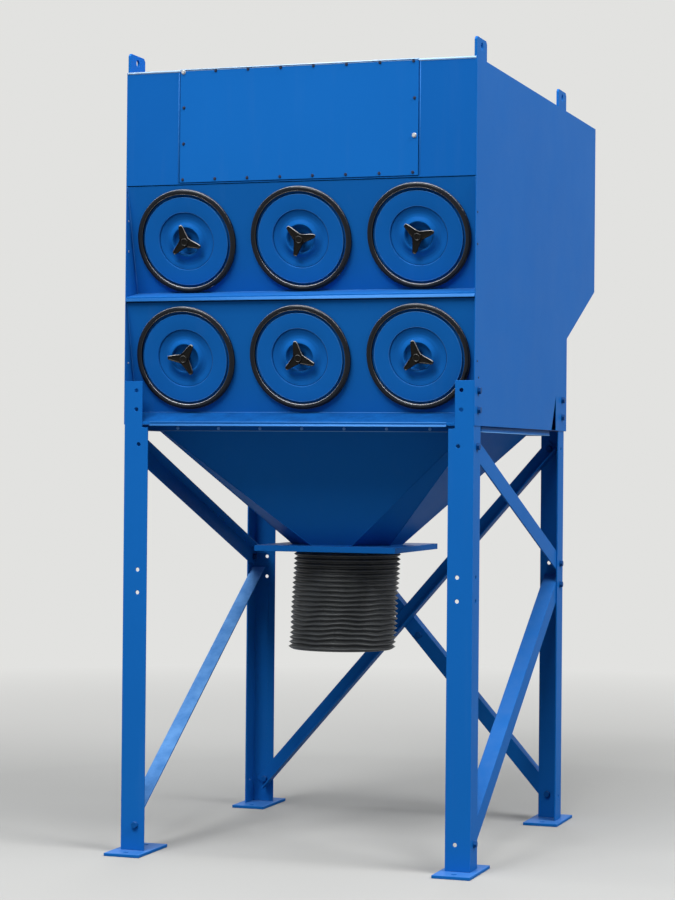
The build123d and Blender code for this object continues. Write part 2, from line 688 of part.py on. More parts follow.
os.makedirs("parts", exist_ok=True)
for node_name, piece in all_nodes().items():
    solids = piece if isinstance(piece, list) else [piece]
    placed = [MODEL_SHIFT * solid for solid in solids]
    whole = placed[0] if len(placed) == 1 else Compound(children=placed)
    export_step(whole, f"parts/{node_name}.step")
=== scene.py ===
import json
import math

import bmesh
import bpy
import numpy as np
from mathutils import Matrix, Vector

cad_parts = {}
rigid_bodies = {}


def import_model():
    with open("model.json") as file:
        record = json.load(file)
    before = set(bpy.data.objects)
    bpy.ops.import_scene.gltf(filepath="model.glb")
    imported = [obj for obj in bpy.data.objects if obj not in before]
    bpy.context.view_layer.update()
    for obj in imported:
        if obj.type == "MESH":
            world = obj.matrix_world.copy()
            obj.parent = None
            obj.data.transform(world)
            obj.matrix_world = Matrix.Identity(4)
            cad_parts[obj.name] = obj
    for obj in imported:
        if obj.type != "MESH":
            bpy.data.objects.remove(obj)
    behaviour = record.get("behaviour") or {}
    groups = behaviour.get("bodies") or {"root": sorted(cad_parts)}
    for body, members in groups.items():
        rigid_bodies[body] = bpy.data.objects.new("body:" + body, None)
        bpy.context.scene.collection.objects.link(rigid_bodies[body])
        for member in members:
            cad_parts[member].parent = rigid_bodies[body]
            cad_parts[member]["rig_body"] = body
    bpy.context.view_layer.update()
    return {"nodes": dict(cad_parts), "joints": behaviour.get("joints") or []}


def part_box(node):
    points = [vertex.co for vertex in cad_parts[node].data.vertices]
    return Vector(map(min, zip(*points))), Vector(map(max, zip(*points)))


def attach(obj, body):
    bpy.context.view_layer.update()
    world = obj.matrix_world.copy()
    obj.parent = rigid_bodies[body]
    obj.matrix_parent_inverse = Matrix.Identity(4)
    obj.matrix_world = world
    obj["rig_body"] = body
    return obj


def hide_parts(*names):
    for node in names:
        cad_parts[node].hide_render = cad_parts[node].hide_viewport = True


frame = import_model()

# Metres, in the frame of the solids: +X to the right seen from the front, +Y to the rear, +Z up.
MM = 0.001

# The part's own sizes that the pieces below are seated on. A gauge is how far a hole lies from the leg's
# corner, along its side flange or along its front or rear one.
SIDE_GAUGE = 50.8 * MM
FLANGE_GAUGE = 62.0 * MM
BRACE_THICKNESS = 6.35 * MM
HOLE_HEIGHTS = {
    "top": 1.867, "top_low": 1.791, "upper": 1.650, "middle": 1.144, "middle_low": 1.052, "foot": 0.115,
}
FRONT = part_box("front_band")[0].y
PANEL_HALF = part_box("side_panel_right")[0].x
LEG_INSIDE = 0.622

# Camera at the photograph's viewing angle
CAMERA_PLACE = (3.15554, -9.71218, 1.59367)
CAMERA_TURN = (90.5114, -0.50087, 18.8440)
CAMERA_LENS = 93.998
CAMERA_SHIFT = (0.00046, -0.01225)
CAMERA_SENSOR = 36.0
CAMERA_SIGHT = 200.0

# Light: each lamp's place, target, size and radiance
SKY_STRENGTH = 0.20
SKY_COLOUR = (0.92, 0.96, 1.0, 1.0)
VIEW_COLOUR = (0.76, 0.76, 0.745, 1.0)
FLOOR_VIEW_COLOUR = (0.36, 0.36, 0.352, 1.0)
FLOOR_BOUNCE_COLOUR = (0.175, 0.175, 0.17, 1.0)
FLOOR_RINGS = (2.0, 5.0, 15.0, 70.0)
FLOOR_COLUMNS = 96
FLOOR_FADE = (2.4, 8.0)
LAMPS = {
    "overhead": ((0.3, -1.0, 12.0), (0.3, -0.8, 2.0), (12.0, 10.0), 1.4),
    "overhead_strip": ((0.3, -1.2, 9.0), (0.3, -1.2, 2.0), (9.0, 0.5), 11.0),
    "front_strip": ((-3.0, -5.4, 10.7), (-3.0, -0.9, 2.0), (9.0, 0.14), 55.0),
    "front_high": ((-1.5, -12.6, 15.0), (0.0, -0.8, 1.8), (12.0, 8.0), 9.8),
    "right_high": ((13.0, -3.0, 14.0), (0.7, 0.0, 1.8), (9.0, 8.0), 12.0),
    "rear_fill": ((-5.0, 15.0, 9.0), (0.0, 0.5, 1.8), (8.0, 6.0), 4.0),
}

# Paint and other finishes, with painted highlights and painted shade, as linear colours
PAINT_COLOUR = (0.0075, 0.126, 0.450, 1.0)
PAINT_DARK_COLOUR = (0.0066, 0.114, 0.415, 1.0)
PAINT_SHADE_COLOUR = (0.0060, 0.098, 0.370, 1.0)
PAINT_TONES = (PAINT_COLOUR, PAINT_DARK_COLOUR)
# Paler blue: small scuffs of worn paint, and painted highlights on hems, welds, folds and the covers' edges
PAINT_SCUFF_AND_HIGHLIGHT_COLOUR = (0.075, 0.250, 0.600, 1.0)
# Pale blue: painted highlight on the hopper flange's rim and lip bolts, and second tone of the roof hem's
# highlight
RIM_HIGHLIGHT_COLOUR = (0.190, 0.430, 0.780, 1.0)
# Near white: painted highlight along the roof's front hem
ROOF_HEM_HIGHLIGHT_COLOUR = (0.60, 0.74, 0.86, 1.0)
# Painted shadow: near-black blue for the joints round the removable panel, under the side panels and in the
# covers' creases
SEAM_SHADOW_COLOUR = (0.003, 0.020, 0.090, 1.0)
PAINT_GLOSS = 0.014
RUN_STRETCH = (3.0, 3.0, 0.25)
DUST_COLOUR = (0.30, 0.38, 0.46, 1.0)
# Light blue: painted light on the up-facing faces of the lower left brace
BRACE_TOP_LIGHT_COLOUR = (0.170, 0.400, 0.800, 1.0)
# Dark blue: painted shade on the up-facing ledge of the lower slanted panel
LEDGE_SHADE_COLOUR = (0.005, 0.055, 0.210, 1.0)
GASKET_COLOUR = (0.0065, 0.0085, 0.0130, 1.0)
# Pale grey: painted highlight on the up-facing sides of the seals and their lips
RUBBER_HIGHLIGHT_COLOUR = (0.60, 0.64, 0.72, 1.0)
RUBBER_BLOOM_FACTOR = 3.0
HOSE_COLOUR = (0.034, 0.037, 0.039, 1.0)
KNOB_COLOUR = (0.0046, 0.0043, 0.0040, 1.0)
# Pale grey: painted highlight on the knobs' up-facing edges and head ring
KNOB_HIGHLIGHT_COLOUR = (0.46, 0.46, 0.45, 1.0)
KNOB_WORN_COLOUR = (0.0090, 0.0080, 0.0068, 1.0)
KNOB_GLOSS = 0.12
KNOB_ROUGHNESS = (0.16, 0.26)
ZINC_COLOUR = (0.62, 0.63, 0.64, 1.0)
STEEL_TONE_FACTOR = 0.72
SCREW_COLOUR = (0.004, 0.012, 0.050, 1.0)
BOLT_COLOUR = (0.004, 0.034, 0.130, 1.0)

# Rounded edges of the solids, by the start of their names
ROUND_EDGE = {
    "leg_": 1.5 * MM, "brace_": 1.5 * MM, "cross_brace": 1.5 * MM, "foot_plates": 2.0 * MM,
    "lifting_lugs": 1.8 * MM, "outlet_flange": 1.6 * MM, "front_access_panel": 1.2 * MM,
}
SHEET_EDGE = 0.9 * MM
SHARP_ANGLE = math.radians(35)
FLAT_ANGLE = math.radians(0.1)
STRAIGHT_ANGLE = math.radians(0.5)
MERGE_DISTANCE = 0.00002

# Rings about a cover's axis as (radius, height, thickness), in millimetres: painted highlight lines and
# painted shadow lines
# Thin lips on the seals, where their painted highlight lines lie
SEAL_LIP_HIGHLIGHTS = ((192.0, 16.4, 2.0), (209.4, 15.2, 1.0))
# Painted highlights in paler paint on the dish's edge and the step's edge
COVER_EDGE_HIGHLIGHTS = ((178.2, 14.7, 0.9), (119.0, 15.0, 0.5))
# Painted shadow in the crease at the foot of the step
COVER_CREASE_SHADOWS = ((115.5, 8.9, 1.0),)
RING_SIDES = 8

# Covers, drawn about their own axis with heights above the slanted panel. The face is (radius, height)
# points in millimetres, each with the radius of its corner, and the sheet's back lies between two radii.
COVER_COLUMNS = 144
COVER_FACE = (
    (190.5, 0.0), (190.5, 2.2), (189.0, 2.6), (181.0, 0.8), (179.8, 2.0), (178.9, 13.0), (177.2, 15.2),
    (172.0, 15.0), (119.5, 15.4), (115.6, 8.4), (107.0, 7.4), (98.0, 4.6), (88.0, 3.7),
    (76.0, 7.0), (65.0, 15.0), (59.5, 17.8), (56.2, 16.5), (53.4, 2.0), (51.5, 0.0), (5.0, 0.0),
)
COVER_ROUND = (
    0.0, 0.6, 0.8, 1.0, 1.0, 1.2, 2.0, 4.0, 1.6, 3.0, 5.0, 7.0, 8.0, 8.0, 6.0, 3.0, 3.0, 2.5, 1.5, 0.0,
)
COVER_SHEET = 2.0 * MM
COVER_BACK_SPAN = (5.0 * MM, 178.0 * MM)

# Seals: the section's centre, radius and height, and the butt joint's place, step and pinch
GASKET_CENTRE = 200.3 * MM
GASKET_TUBE = 11.3 * MM
GASKET_LIFT = 9.0 * MM
GASKET_POINTS = 22
SEAM_ANGLE = math.radians(-62)
SEAM_STEP = 0.3
SEAM_PINCH = 0.10

# Three-wing knob, heights above the cover's plane. A span is a start and a width.
KNOB_HEAD_RADIUS = 20.5 * MM
KNOB_HUB = 20.0 * MM
KNOB_REACH = 70.0 * MM
KNOB_ROOT_HALF = 20.5 * MM
KNOB_TIP_HALF = 8.0 * MM
KNOB_TOP = 38.0 * MM
KNOB_TIP_DROP = 2.5 * MM
KNOB_FACE = 36.8 * MM
KNOB_RING = 2.2 * MM
KNOB_DISH = 3.2 * MM
KNOB_DISH_SPAN = (3.0 * MM, 2.0 * MM)
KNOB_EDGE_ROUND = (3.4 * MM, 2.8 * MM)
KNOB_RIM_DROP = 0.6 * MM
KNOB_RING_INSIDE = (10.6 * MM, 1.8 * MM)
KNOB_RING_OUTSIDE = (14.4 * MM, 2.4 * MM)
KNOB_HEAD_BLEND = (17.0 * MM, 5.0 * MM)
KNOB_WING_POINTS = 41

# The knob's rings, in millimetres: (radius, height) up the boss, (inset from the outline, height) up the
# wings' sides, radii inside the hub, and shares of the way from the hub out to the outline
KNOB_BOSS_RINGS = ((15.5, 1.3), (17.0, 2.8), (17.0, 24.5))
KNOB_SIDE_RINGS = ((1.6, 25.0), (0.3, 25.8), (0.0, 27.0))
KNOB_INNER_RINGS = (19.2, 18.2, 17.2, 16.2, 15.2, 14.2, 13.2, 12.2, 11.2, 10.2, 7.0, 3.5)
KNOB_OUTER_SHARES = (0.985, 0.965, 0.94, 0.91, 0.87, 0.82, 0.76, 0.68, 0.58, 0.46, 0.34, 0.22, 0.10, 0.0)

# Where a knob gets its painted highlight: past a share of the outline, and (radius, reach, amount) on the
# head's ring
KNOB_HIGHLIGHT_SHARE = 0.93
KNOB_HIGHLIGHT_RING = (13.0, 1.2, 0.7)
HIGHLIGHT_ATTRIBUTE = "painted_edge_highlight"
KNOB_TURNS = {
    "upper_left": 101.0, "upper_middle": 11.0, "upper_right": 15.0,
    "lower_left": 55.0, "lower_middle": 98.0, "lower_right": 102.0,
}

# Threaded studs: their span is a low and a high end, and the rows are those of one pitch
STUD_RADIUS = 6.0 * MM
STUD_THREAD = 0.8 * MM
STUD_PITCH = 2.0 * MM
STUD_SPAN = (-42.0 * MM, 4.0 * MM)
STUD_ROWS = 6
STUD_SIDES = 16

# Drop hose: the plain cuff at its top, its wall and thinner skin, its ridges, and how far it is out of true
HOSE_CUFF = 26.0 * MM
HOSE_BORE = 200.6 * MM
HOSE_WALL = 3.0 * MM
HOSE_SKIN = 2.1 * MM
HOSE_STEP_OUT = 5.5 * MM
HOSE_RIDGES = 20
HOSE_RIDGE_DEPTH = 16.0 * MM
HOSE_RIDGE_ROWS = 6
HOSE_COLUMNS = 144
HOSE_LEAN = 22.0 * MM
HOSE_WAVE = 7.0 * MM
HOSE_SAG = 0.010

# Clamp: the band's section as (out from its radius, height) in millimetres, then the half sizes of the
# screw's housing and the screw's head, given like the bolts below
CLAMP_SECTION = (
    (-1.4, -7.0), (0.6, -7.0), (1.0, -6.2), (0.0, -5.4), (0.0, 5.4), (1.0, 6.2), (0.6, 7.0), (-1.4, 7.0),
)
CLAMP_SCREW_ANGLE = math.radians(-38)
CLAMP_HOUSING = (6.5 * MM, 8.0 * MM, 15.0 * MM)
CLAMP_HOUSING_OUT = 6.0 * MM
CLAMP_SCREW = (8.0 * MM, 6.0 * MM, 5.5 * MM, 1.5 * MM)
CLAMP_SCREW_OUT = 7.0 * MM
CLAMP_SCREW_ALONG = 14.5 * MM
BLOCK_ROWS = 12
BLOCK_COLUMNS = 24
BLOCK_POWER = 5.0

# Hopper: (half width, front, rear, corner cut, height) of its eight-sided top and outlet
HOPPER_TOP = (0.685, -0.805, 0.121, 0.012, 1.727)
HOPPER_OUTLET = (0.213, -0.531, -0.105, 0.1248, 1.239)

# Bolts and screws: across the flats, height, washer radius and thickness
BOLT = (24.0 * MM, 10.0 * MM, 15.0 * MM, 2.5 * MM)
NUT = (24.0 * MM, 13.0 * MM, 15.0 * MM, 2.5 * MM)
LIP_BOLT = (10.0 * MM, 5.0 * MM, 7.0 * MM, 1.2 * MM)
SCREW = (8.0 * MM, 4.0 * MM, 6.4 * MM, 1.2 * MM)
BRIGHT_SCREW = (13.0 * MM, 6.0 * MM, 9.5 * MM, 1.5 * MM)
RIVET = (6.0 * MM, 2.0 * MM, 4.4 * MM, 0.8 * MM)
BOLT_COLUMNS = 24
SMALL_HEAD_COLUMNS = 12
BOLT_SEED = 7

# Where they sit, in metres, and the side rivets as (depth behind the front, height) in millimetres
PANEL_SCREW_XS = (-0.487, -0.348, -0.210, -0.071, 0.066, 0.204, 0.342, 0.479)
PANEL_SCREW_ZS = (3.147, 3.003, 2.858, 2.714)
PANEL_SCREW_SIDE = 0.484
LIP_BOLT_DROP = 1.0 * MM
LIP_BOLT_XS = (-0.560, -0.381, -0.202, -0.023, 0.156, 0.334, 0.513)
SIDE_RIVETS = ((20.0, 2555.0), (23.0, 2432.0), (30.0, 1980.0), (53.0, 1917.0))
CROSS_BOLT_PLACE = (0.067, 0.803)

# Lines of the sheet metal, as (depth behind the front, height), in millimetres
UPPER_PANEL_LINE = ((118.0, 2268.0), (3.0, 2691.9))
LOWER_PANEL_LINE = ((118.0, 1782.0), (9.4, 2223.0))
UPPER_HEM = ((0.0, 2239.5), (-1.6, 2239.0), (-6.4, 2228.0), (-5.6, 2226.4), (0.0, 2226.2))
LOWER_HEM = ((0.0, 1733.5), (-1.4, 1733.0), (-5.4, 1725.6), (-4.6, 1724.4), (0.0, 1724.4))
LOWER_LIP = ((0.0, 1742.6), (-1.4, 1742.2), (-2.4, 1740.6), (-1.4, 1739.2), (0.0, 1739.2))
ROOF_HEM = ((0.6, 3155.8), (-1.2, 3155.0), (-3.6, 3150.6), (0.0, 3146.6), (0.6, 3146.6))
HEM_ROUND = 0.8

# Over the removable panel the roof's hem is raised and ends above a small gap, both in millimetres, and it
# runs past the panel's sides
PANEL_HEM_RISE = 2.4
PANEL_HEM_GAP = 0.1
PANEL_HEM_PAST = 1.0 * MM

# Places of the folds and joints: how far they stand in or out from the sheets that they belong to
HEM_END_GAP = 1.0 * MM
FOLD_INSET = 1.5 * MM
JOINT_OUT = 0.8 * MM
PANEL_FOLD_GAP = 7.0 * MM
SIDE_JOINT_ENDS = (104.0 * MM, 112.0 * MM)
SIDE_JOINT_DROP = 0.5 * MM
SIDE_JOINT_INTO = 1.0 * MM

# Beads by the name of their piece: radius, share by which a weld swells, and sides
WELD_PITCH = 12.0 * MM
BEADS = {
    "panel_side_weld_highlights": (2.4 * MM, 0.16, 8), "panel_fold_highlights": (1.7 * MM, 0.0, 12),
    "panel_joint_shadows": (1.7 * MM, 0.0, 10), "side_panel_joint_shadows": (2.6 * MM, 0.0, 10),
    "panel_frame_fold_highlights": (1.1 * MM, 0.0, 10), "hopper_flange_rim_highlight": (1.8 * MM, 0.0, 12),
    "hopper_corner_welds": (1.9 * MM, 0.14, 6), "hopper_outlet_welds": (3.0 * MM, 0.14, 6),
}


# Meshes

def grid_faces(rows, columns, wrap_rows=False):
    """Quads between closed rings of points, numbered ring by ring. The last ring joins the first if asked."""
    r = np.arange(rows if wrap_rows else rows - 1)[:, None]
    c = np.arange(columns)[None, :]
    r2, c2 = (r + 1) % rows, (c + 1) % columns
    quads = np.stack([r * columns + c, r * columns + c2, r2 * columns + c2, r2 * columns + c], axis=-1)
    return quads.reshape(-1, 4)


def make_piece(name, points, faces, material, body="stand", smooth=True, caps=()):
    """A mesh object from arrays of points and faces, riding on a body. Caps are rings of point numbers."""
    mesh = bpy.data.meshes.new(name)
    polygons = [tuple(f) for f in np.asarray(faces).tolist()] + [tuple(cap) for cap in caps]
    mesh.from_pydata(np.asarray(points).reshape(-1, 3).tolist(), [], polygons)
    mesh.polygons.foreach_set("use_smooth", np.full(len(mesh.polygons), smooth))
    mesh.materials.append(material)
    mesh.update()
    piece = bpy.data.objects.new(name, mesh)
    bpy.context.collection.objects.link(piece)
    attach(piece, body)
    return piece


def revolve(profile, columns):
    """Points of a profile of (radius, height) turned about the Z axis: (r cos a, r sin a, z)."""
    profile = np.asarray(profile)
    angle = np.linspace(0, 2 * np.pi, columns, endpoint=False)
    r, z = profile[:, 0][:, None], profile[:, 1][:, None]
    return np.stack([r * np.cos(angle), r * np.sin(angle), z + 0 * angle], axis=-1)


def rounded(corners, radii, steps=5):
    """A line with each corner replaced by an arc that touches both runs. A straight corner stays as it is."""
    corners = np.asarray(corners, dtype=float)
    line = [corners[:1]]
    for i in range(1, len(corners) - 1):
        here, before, after = corners[i], corners[i - 1], corners[i + 1]
        a = (before - here) / np.linalg.norm(before - here)
        b = (after - here) / np.linalg.norm(after - here)
        half = math.acos(max(-1.0, min(1.0, float(a @ b)))) / 2
        if math.pi - 2 * half < STRAIGHT_ANGLE:
            line.append(here[None, :])
            continue
        run = min(np.linalg.norm(before - here), np.linalg.norm(after - here)) * 0.49
        cut = min(radii[i] / math.tan(half), run)
        radius = cut * math.tan(half)
        middle = here + (a + b) / np.linalg.norm(a + b) * (radius / math.sin(half))
        start, end = here + a * cut - middle, here + b * cut - middle
        t = np.linspace(0, 1, steps)[:, None]
        sweep = math.pi - 2 * half
        arc = (np.sin((1 - t) * sweep) * start + np.sin(t * sweep) * end) / math.sin(sweep)
        line.append(middle + arc)
    line.append(corners[-1:])
    return np.concatenate(line)


def outward(points, faces):
    """Turns the faces of a closed mesh outwards if its volume comes out negative."""
    corners = points.reshape(-1, 3)[faces]
    volume = np.einsum("ij,ij->i", corners[:, 0], np.cross(corners[:, 1], corners[:, 2])).sum()
    volume += np.einsum("ij,ij->i", corners[:, 0], np.cross(corners[:, 2], corners[:, 3])).sum()
    return faces[:, ::-1] if volume < 0 else faces


def ring_faces(points):
    """Faces of a closed section carried round a circle, turned outwards."""
    return outward(points, grid_faces(*points.shape[:2], wrap_rows=True))


def tube_faces(points):
    """Faces of a tube of closed rings, turned outwards, and the caps of its first and last ring."""
    rows, columns = points.shape[:2]
    faces = grid_faces(rows, columns)
    turned = outward(points, faces)
    first = tuple(range(columns))
    last = tuple(range((rows - 1) * columns, rows * columns))
    flipped = (turned[0] != faces[0]).any()
    return turned, [first, last[::-1]] if flipped else [first[::-1], last]


def basis(normal, turn=0.0):
    """Columns of a turned frame whose third axis is the normal and whose first is as level as it can be."""
    n = np.asarray(normal, dtype=float)
    n = n / np.linalg.norm(n)
    level = np.cross((0.0, 0.0, 1.0), n)
    if np.linalg.norm(level) < 1e-6:
        level = np.array((1.0, 0.0, 0.0))
    level = level / np.linalg.norm(level)
    up = np.cross(n, level)
    c, s = math.cos(turn), math.sin(turn)
    return np.stack([c * level + s * up, -s * level + c * up, n], axis=1)


def set_on(points, place, normal, turn=0.0):
    """Points drawn about the Z axis, turned about it, tipped until Z is the normal, and moved to a place."""
    return points.reshape(-1, 3) @ basis(normal, turn).T + np.array(place)


def on_joint(points, joint, turn=0.0):
    """Points drawn about the Z axis, set on a joint's axis."""
    return set_on(points, joint["pos_m"], joint["axis"], turn)


def rise(value, start, width):
    """Goes from 0 to 1 as 3v^2 - 2v^3, where v is how far the value is past its start, in widths."""
    v = np.clip((value - start) / width, 0, 1)
    return v * v * (3 - 2 * v)


def join_meshes(parts):
    """Numbers several (points, faces, caps) on from each other and gives them as one."""
    points, quads, caps, count = [], [], [], 0
    for some_points, some_faces, some_caps in parts:
        flat = some_points.reshape(-1, 3)
        points.append(flat)
        quads.append(some_faces + count)
        caps += [tuple(number + count for number in cap) for cap in some_caps]
        count += len(flat)
    return np.concatenate(points), np.concatenate(quads), caps


def bead(start, end, radius, ripple, sides):
    """A round bead between two points: a circle along the line, swelling by a sine where it is a weld."""
    start, end = np.array(start, dtype=float), np.array(end, dtype=float)
    length = np.linalg.norm(end - start)
    stations = max(2, int(length / (WELD_PITCH / 4))) if ripple else 2
    along = np.linspace(0, 1, stations)[:, None]
    swell = radius * (1 + ripple * np.sin(2 * np.pi * along * length / WELD_PITCH))
    angle = np.linspace(0, 2 * np.pi, sides, endpoint=False)[None, :, None]
    axes = basis(end - start)
    circle = np.cos(angle) * axes[:, 0] + np.sin(angle) * axes[:, 1]
    spine = (start + along * (end - start))[:, None, :]
    points = spine + swell[:, :, None] * circle
    return points, *tube_faces(points)


def beads(name, lines, material):
    """Beads along several lines as one painted piece, of the size that its name has in the table."""
    points, faces, caps = join_meshes([bead(start, end, *BEADS[name]) for start, end in lines])
    make_piece(name, points, faces, material, caps=caps)


def round_lines(corners):
    """Lines from each corner to the next, and from the last to the first."""
    return zip(corners, corners[1:] + corners[:1])


def hem_mesh(profile, low_x, high_x):
    """A folded hem: its (depth, height) section carried straight along X."""
    section = rounded(profile, [HEM_ROUND] * len(profile), steps=4) * MM
    points = np.empty((2, len(section), 3))
    points[:, :, 0] = np.array((low_x, high_x))[:, None]
    points[:, :, 1] = FRONT + section[:, 0]
    points[:, :, 2] = section[:, 1]
    return points, *tube_faces(points)


# Materials

def new_material(name):
    """A node material with its Principled shader and its Object coordinates."""
    material = bpy.data.materials.new(name)
    material.use_nodes = True
    nodes = material.node_tree.nodes
    shader = nodes["Principled BSDF"]
    place = nodes.new("ShaderNodeTexCoord")
    return material, nodes, material.node_tree.links, shader, place.outputs["Object"]


def add_noise(nodes, links, place, scale, detail=3.0, roughness=0.5, stretch=None):
    """A noise value over the object, at a scale in cycles a metre, drawn out along an axis if asked."""
    noise = nodes.new("ShaderNodeTexNoise")
    noise.inputs["Scale"].default_value = scale
    noise.inputs["Detail"].default_value = detail
    noise.inputs["Roughness"].default_value = roughness
    if stretch:
        mapping = nodes.new("ShaderNodeMapping")
        mapping.inputs["Scale"].default_value = stretch
        links.new(place, mapping.inputs["Vector"])
        place = mapping.outputs["Vector"]
    links.new(place, noise.inputs["Vector"])
    return noise.outputs["Fac"]


def add_range(nodes, links, value, low, high, to_low, to_high):
    """Maps a value from one range to another, held at the ends."""
    step = nodes.new("ShaderNodeMapRange")
    for socket, number in zip(("From Min", "From Max", "To Min", "To Max"), (low, high, to_low, to_high)):
        step.inputs[socket].default_value = number
    links.new(value, step.inputs["Value"])
    return step.outputs["Result"]


def add_patches(nodes, links, place, noise, low, high, to_low, to_high):
    """A noise of (scale, detail, roughness), mapped from one range to another and held at the ends."""
    return add_range(nodes, links, add_noise(nodes, links, place, *noise), low, high, to_low, to_high)


def add_mix(nodes, links, factor, first, second):
    """Mixes two colours, each a colour or a socket, by a factor socket."""
    mix = nodes.new("ShaderNodeMix")
    mix.data_type = "RGBA"
    links.new(factor, mix.inputs["Factor"])
    for socket, value in ((mix.inputs["A"], first), (mix.inputs["B"], second)):
        if isinstance(value, tuple):
            socket.default_value = value
        else:
            links.new(value, socket)
    return mix.outputs["Result"]


def add_bump(nodes, links, shader, height, distance):
    """Bumps the shader's surface by a height value, in metres of depth."""
    bump = nodes.new("ShaderNodeBump")
    bump.inputs["Distance"].default_value = distance
    links.new(height, bump.inputs["Height"])
    links.new(bump.outputs["Normal"], shader.inputs["Normal"])


def add_math(nodes, links, operation, first, second):
    """A math node on two values, each a number or a socket."""
    step = nodes.new("ShaderNodeMath")
    step.operation = operation
    for socket, value in zip(step.inputs, (first, second)):
        if isinstance(value, (int, float)):
            socket.default_value = value
        else:
            links.new(value, socket)
    return step.outputs["Value"]


def facing_up(nodes, links):
    """How much the surface faces up: the height of its normal, from -1 to 1."""
    geometry = nodes.new("ShaderNodeNewGeometry")
    split = nodes.new("ShaderNodeSeparateXYZ")
    links.new(geometry.outputs["Normal"], split.inputs["Vector"])
    return split.outputs["Z"]


def shade(colour, factor):
    """A colour made lighter or darker by a factor."""
    return tuple(min(1.0, part * factor) for part in colour[:3]) + (1.0,)


def paint_material(name, dust_and_light_share, roughness=0.38, colours=PAINT_TONES, dust_and_light_colour=DUST_COLOUR):
    """Blue paint: slow drift between two colours, faint run marks, small scuffs and orange peel.

    The up-facing share lies on what faces straight up, in patches, in the given colour: dust on most paints,
    painted shade on the lower panel's ledge and painted light on the lower left brace.
    """
    material, nodes, links, shader, place = new_material(name)
    drift = add_patches(nodes, links, place, (0.9, 3.0), 0.3, 0.7, 0, 1)
    colour = add_mix(nodes, links, drift, *colours)
    runs = add_noise(nodes, links, place, 6.0, 4.0, 0.6, stretch=RUN_STRETCH)
    run_marks = add_range(nodes, links, runs, 0.58, 0.85, 0, 0.02)
    colour = add_mix(nodes, links, run_marks, colour, DUST_COLOUR)
    # Up-facing patches: dust on most paints, painted shade or painted light where the paint's colour for them
    # says so
    upward = add_range(nodes, links, facing_up(nodes, links), 0.35, 0.95, 0, dust_and_light_share)
    patches = add_patches(nodes, links, place, (14.0, 6.0, 0.65), 0.35, 0.65, 0.5, 1.0)
    up_face_share = add_math(nodes, links, "MULTIPLY", upward, patches)
    colour = add_mix(nodes, links, up_face_share, colour, dust_and_light_colour)
    scuffs = add_patches(nodes, links, place, (55.0, 5.0, 0.7), 0.72, 0.78, 0, 0.22)
    colour = add_mix(nodes, links, scuffs, colour, PAINT_SCUFF_AND_HIGHLIGHT_COLOUR)
    links.new(colour, shader.inputs["Base Color"])
    smudges = add_patches(nodes, links, place, (5.0, 5.0, 0.6), 0.3, 0.7, roughness - 0.02, roughness + 0.03)
    rough = add_math(nodes, links, "ADD", smudges, add_math(nodes, links, "MULTIPLY", up_face_share, 0.35))
    links.new(rough, shader.inputs["Roughness"])
    shader.inputs["Specular IOR Level"].default_value = PAINT_GLOSS
    add_bump(nodes, links, shader, add_noise(nodes, links, place, 420.0, 2.0), 0.10 * MM)
    return material


def rubber_material(name, colour, roughness, grain_scale, gloss, bloom_share, up_highlight=(0.3, 0.6, 0.0)):
    """Dark rubber with dusty bloom in patches and a fine grain.

    What faces up is paler, a painted highlight: the last argument gives the normal's heights where it starts
    and where it is full, and its share there.
    """
    material, nodes, links, shader, place = new_material(name)
    bloom = add_patches(nodes, links, place, (9.0, 5.0, 0.6), 0.4, 0.75, 0, bloom_share)
    tone = add_mix(nodes, links, bloom, colour, shade(colour, RUBBER_BLOOM_FACTOR))
    start, full, share = up_highlight
    up_face_share = add_range(nodes, links, facing_up(nodes, links), start, full, 0, share)
    links.new(add_mix(nodes, links, up_face_share, tone, RUBBER_HIGHLIGHT_COLOUR), shader.inputs["Base Color"])
    rough = add_patches(nodes, links, place, (30.0,), 0.3, 0.7, roughness - 0.05, roughness + 0.07)
    links.new(rough, shader.inputs["Roughness"])
    shader.inputs["Specular IOR Level"].default_value = gloss
    add_bump(nodes, links, shader, add_noise(nodes, links, place, grain_scale, 3.0), 0.25 * MM)
    return material


def plastic_material():
    """Moulded dark brown-black plastic with a soft sheen, mould grain, and a pale painted highlight on edges
    that face up.
    """
    material, nodes, links, shader, place = new_material("knob_phenolic")
    tint = add_patches(nodes, links, place, (40.0, 4.0), 0.35, 0.7, 0, 1)
    colour = add_mix(nodes, links, tint, KNOB_COLOUR, KNOB_WORN_COLOUR)
    edge = nodes.new("ShaderNodeAttribute")
    edge.attribute_name = HIGHLIGHT_ATTRIBUTE
    upward = add_range(nodes, links, facing_up(nodes, links), 0.1, 0.5, 0.03, 1)
    # Painted highlight on the marked edges, stronger where they face up
    lit_edge = add_math(nodes, links, "MULTIPLY", edge.outputs["Fac"], upward)
    links.new(add_mix(nodes, links, lit_edge, colour, KNOB_HIGHLIGHT_COLOUR), shader.inputs["Base Color"])
    rough = add_patches(nodes, links, place, (90.0,), 0.3, 0.7, *KNOB_ROUGHNESS)
    links.new(rough, shader.inputs["Roughness"])
    shader.inputs["Specular IOR Level"].default_value = KNOB_GLOSS
    add_bump(nodes, links, shader, add_noise(nodes, links, place, 700.0, 2.0), 0.10 * MM)
    return material


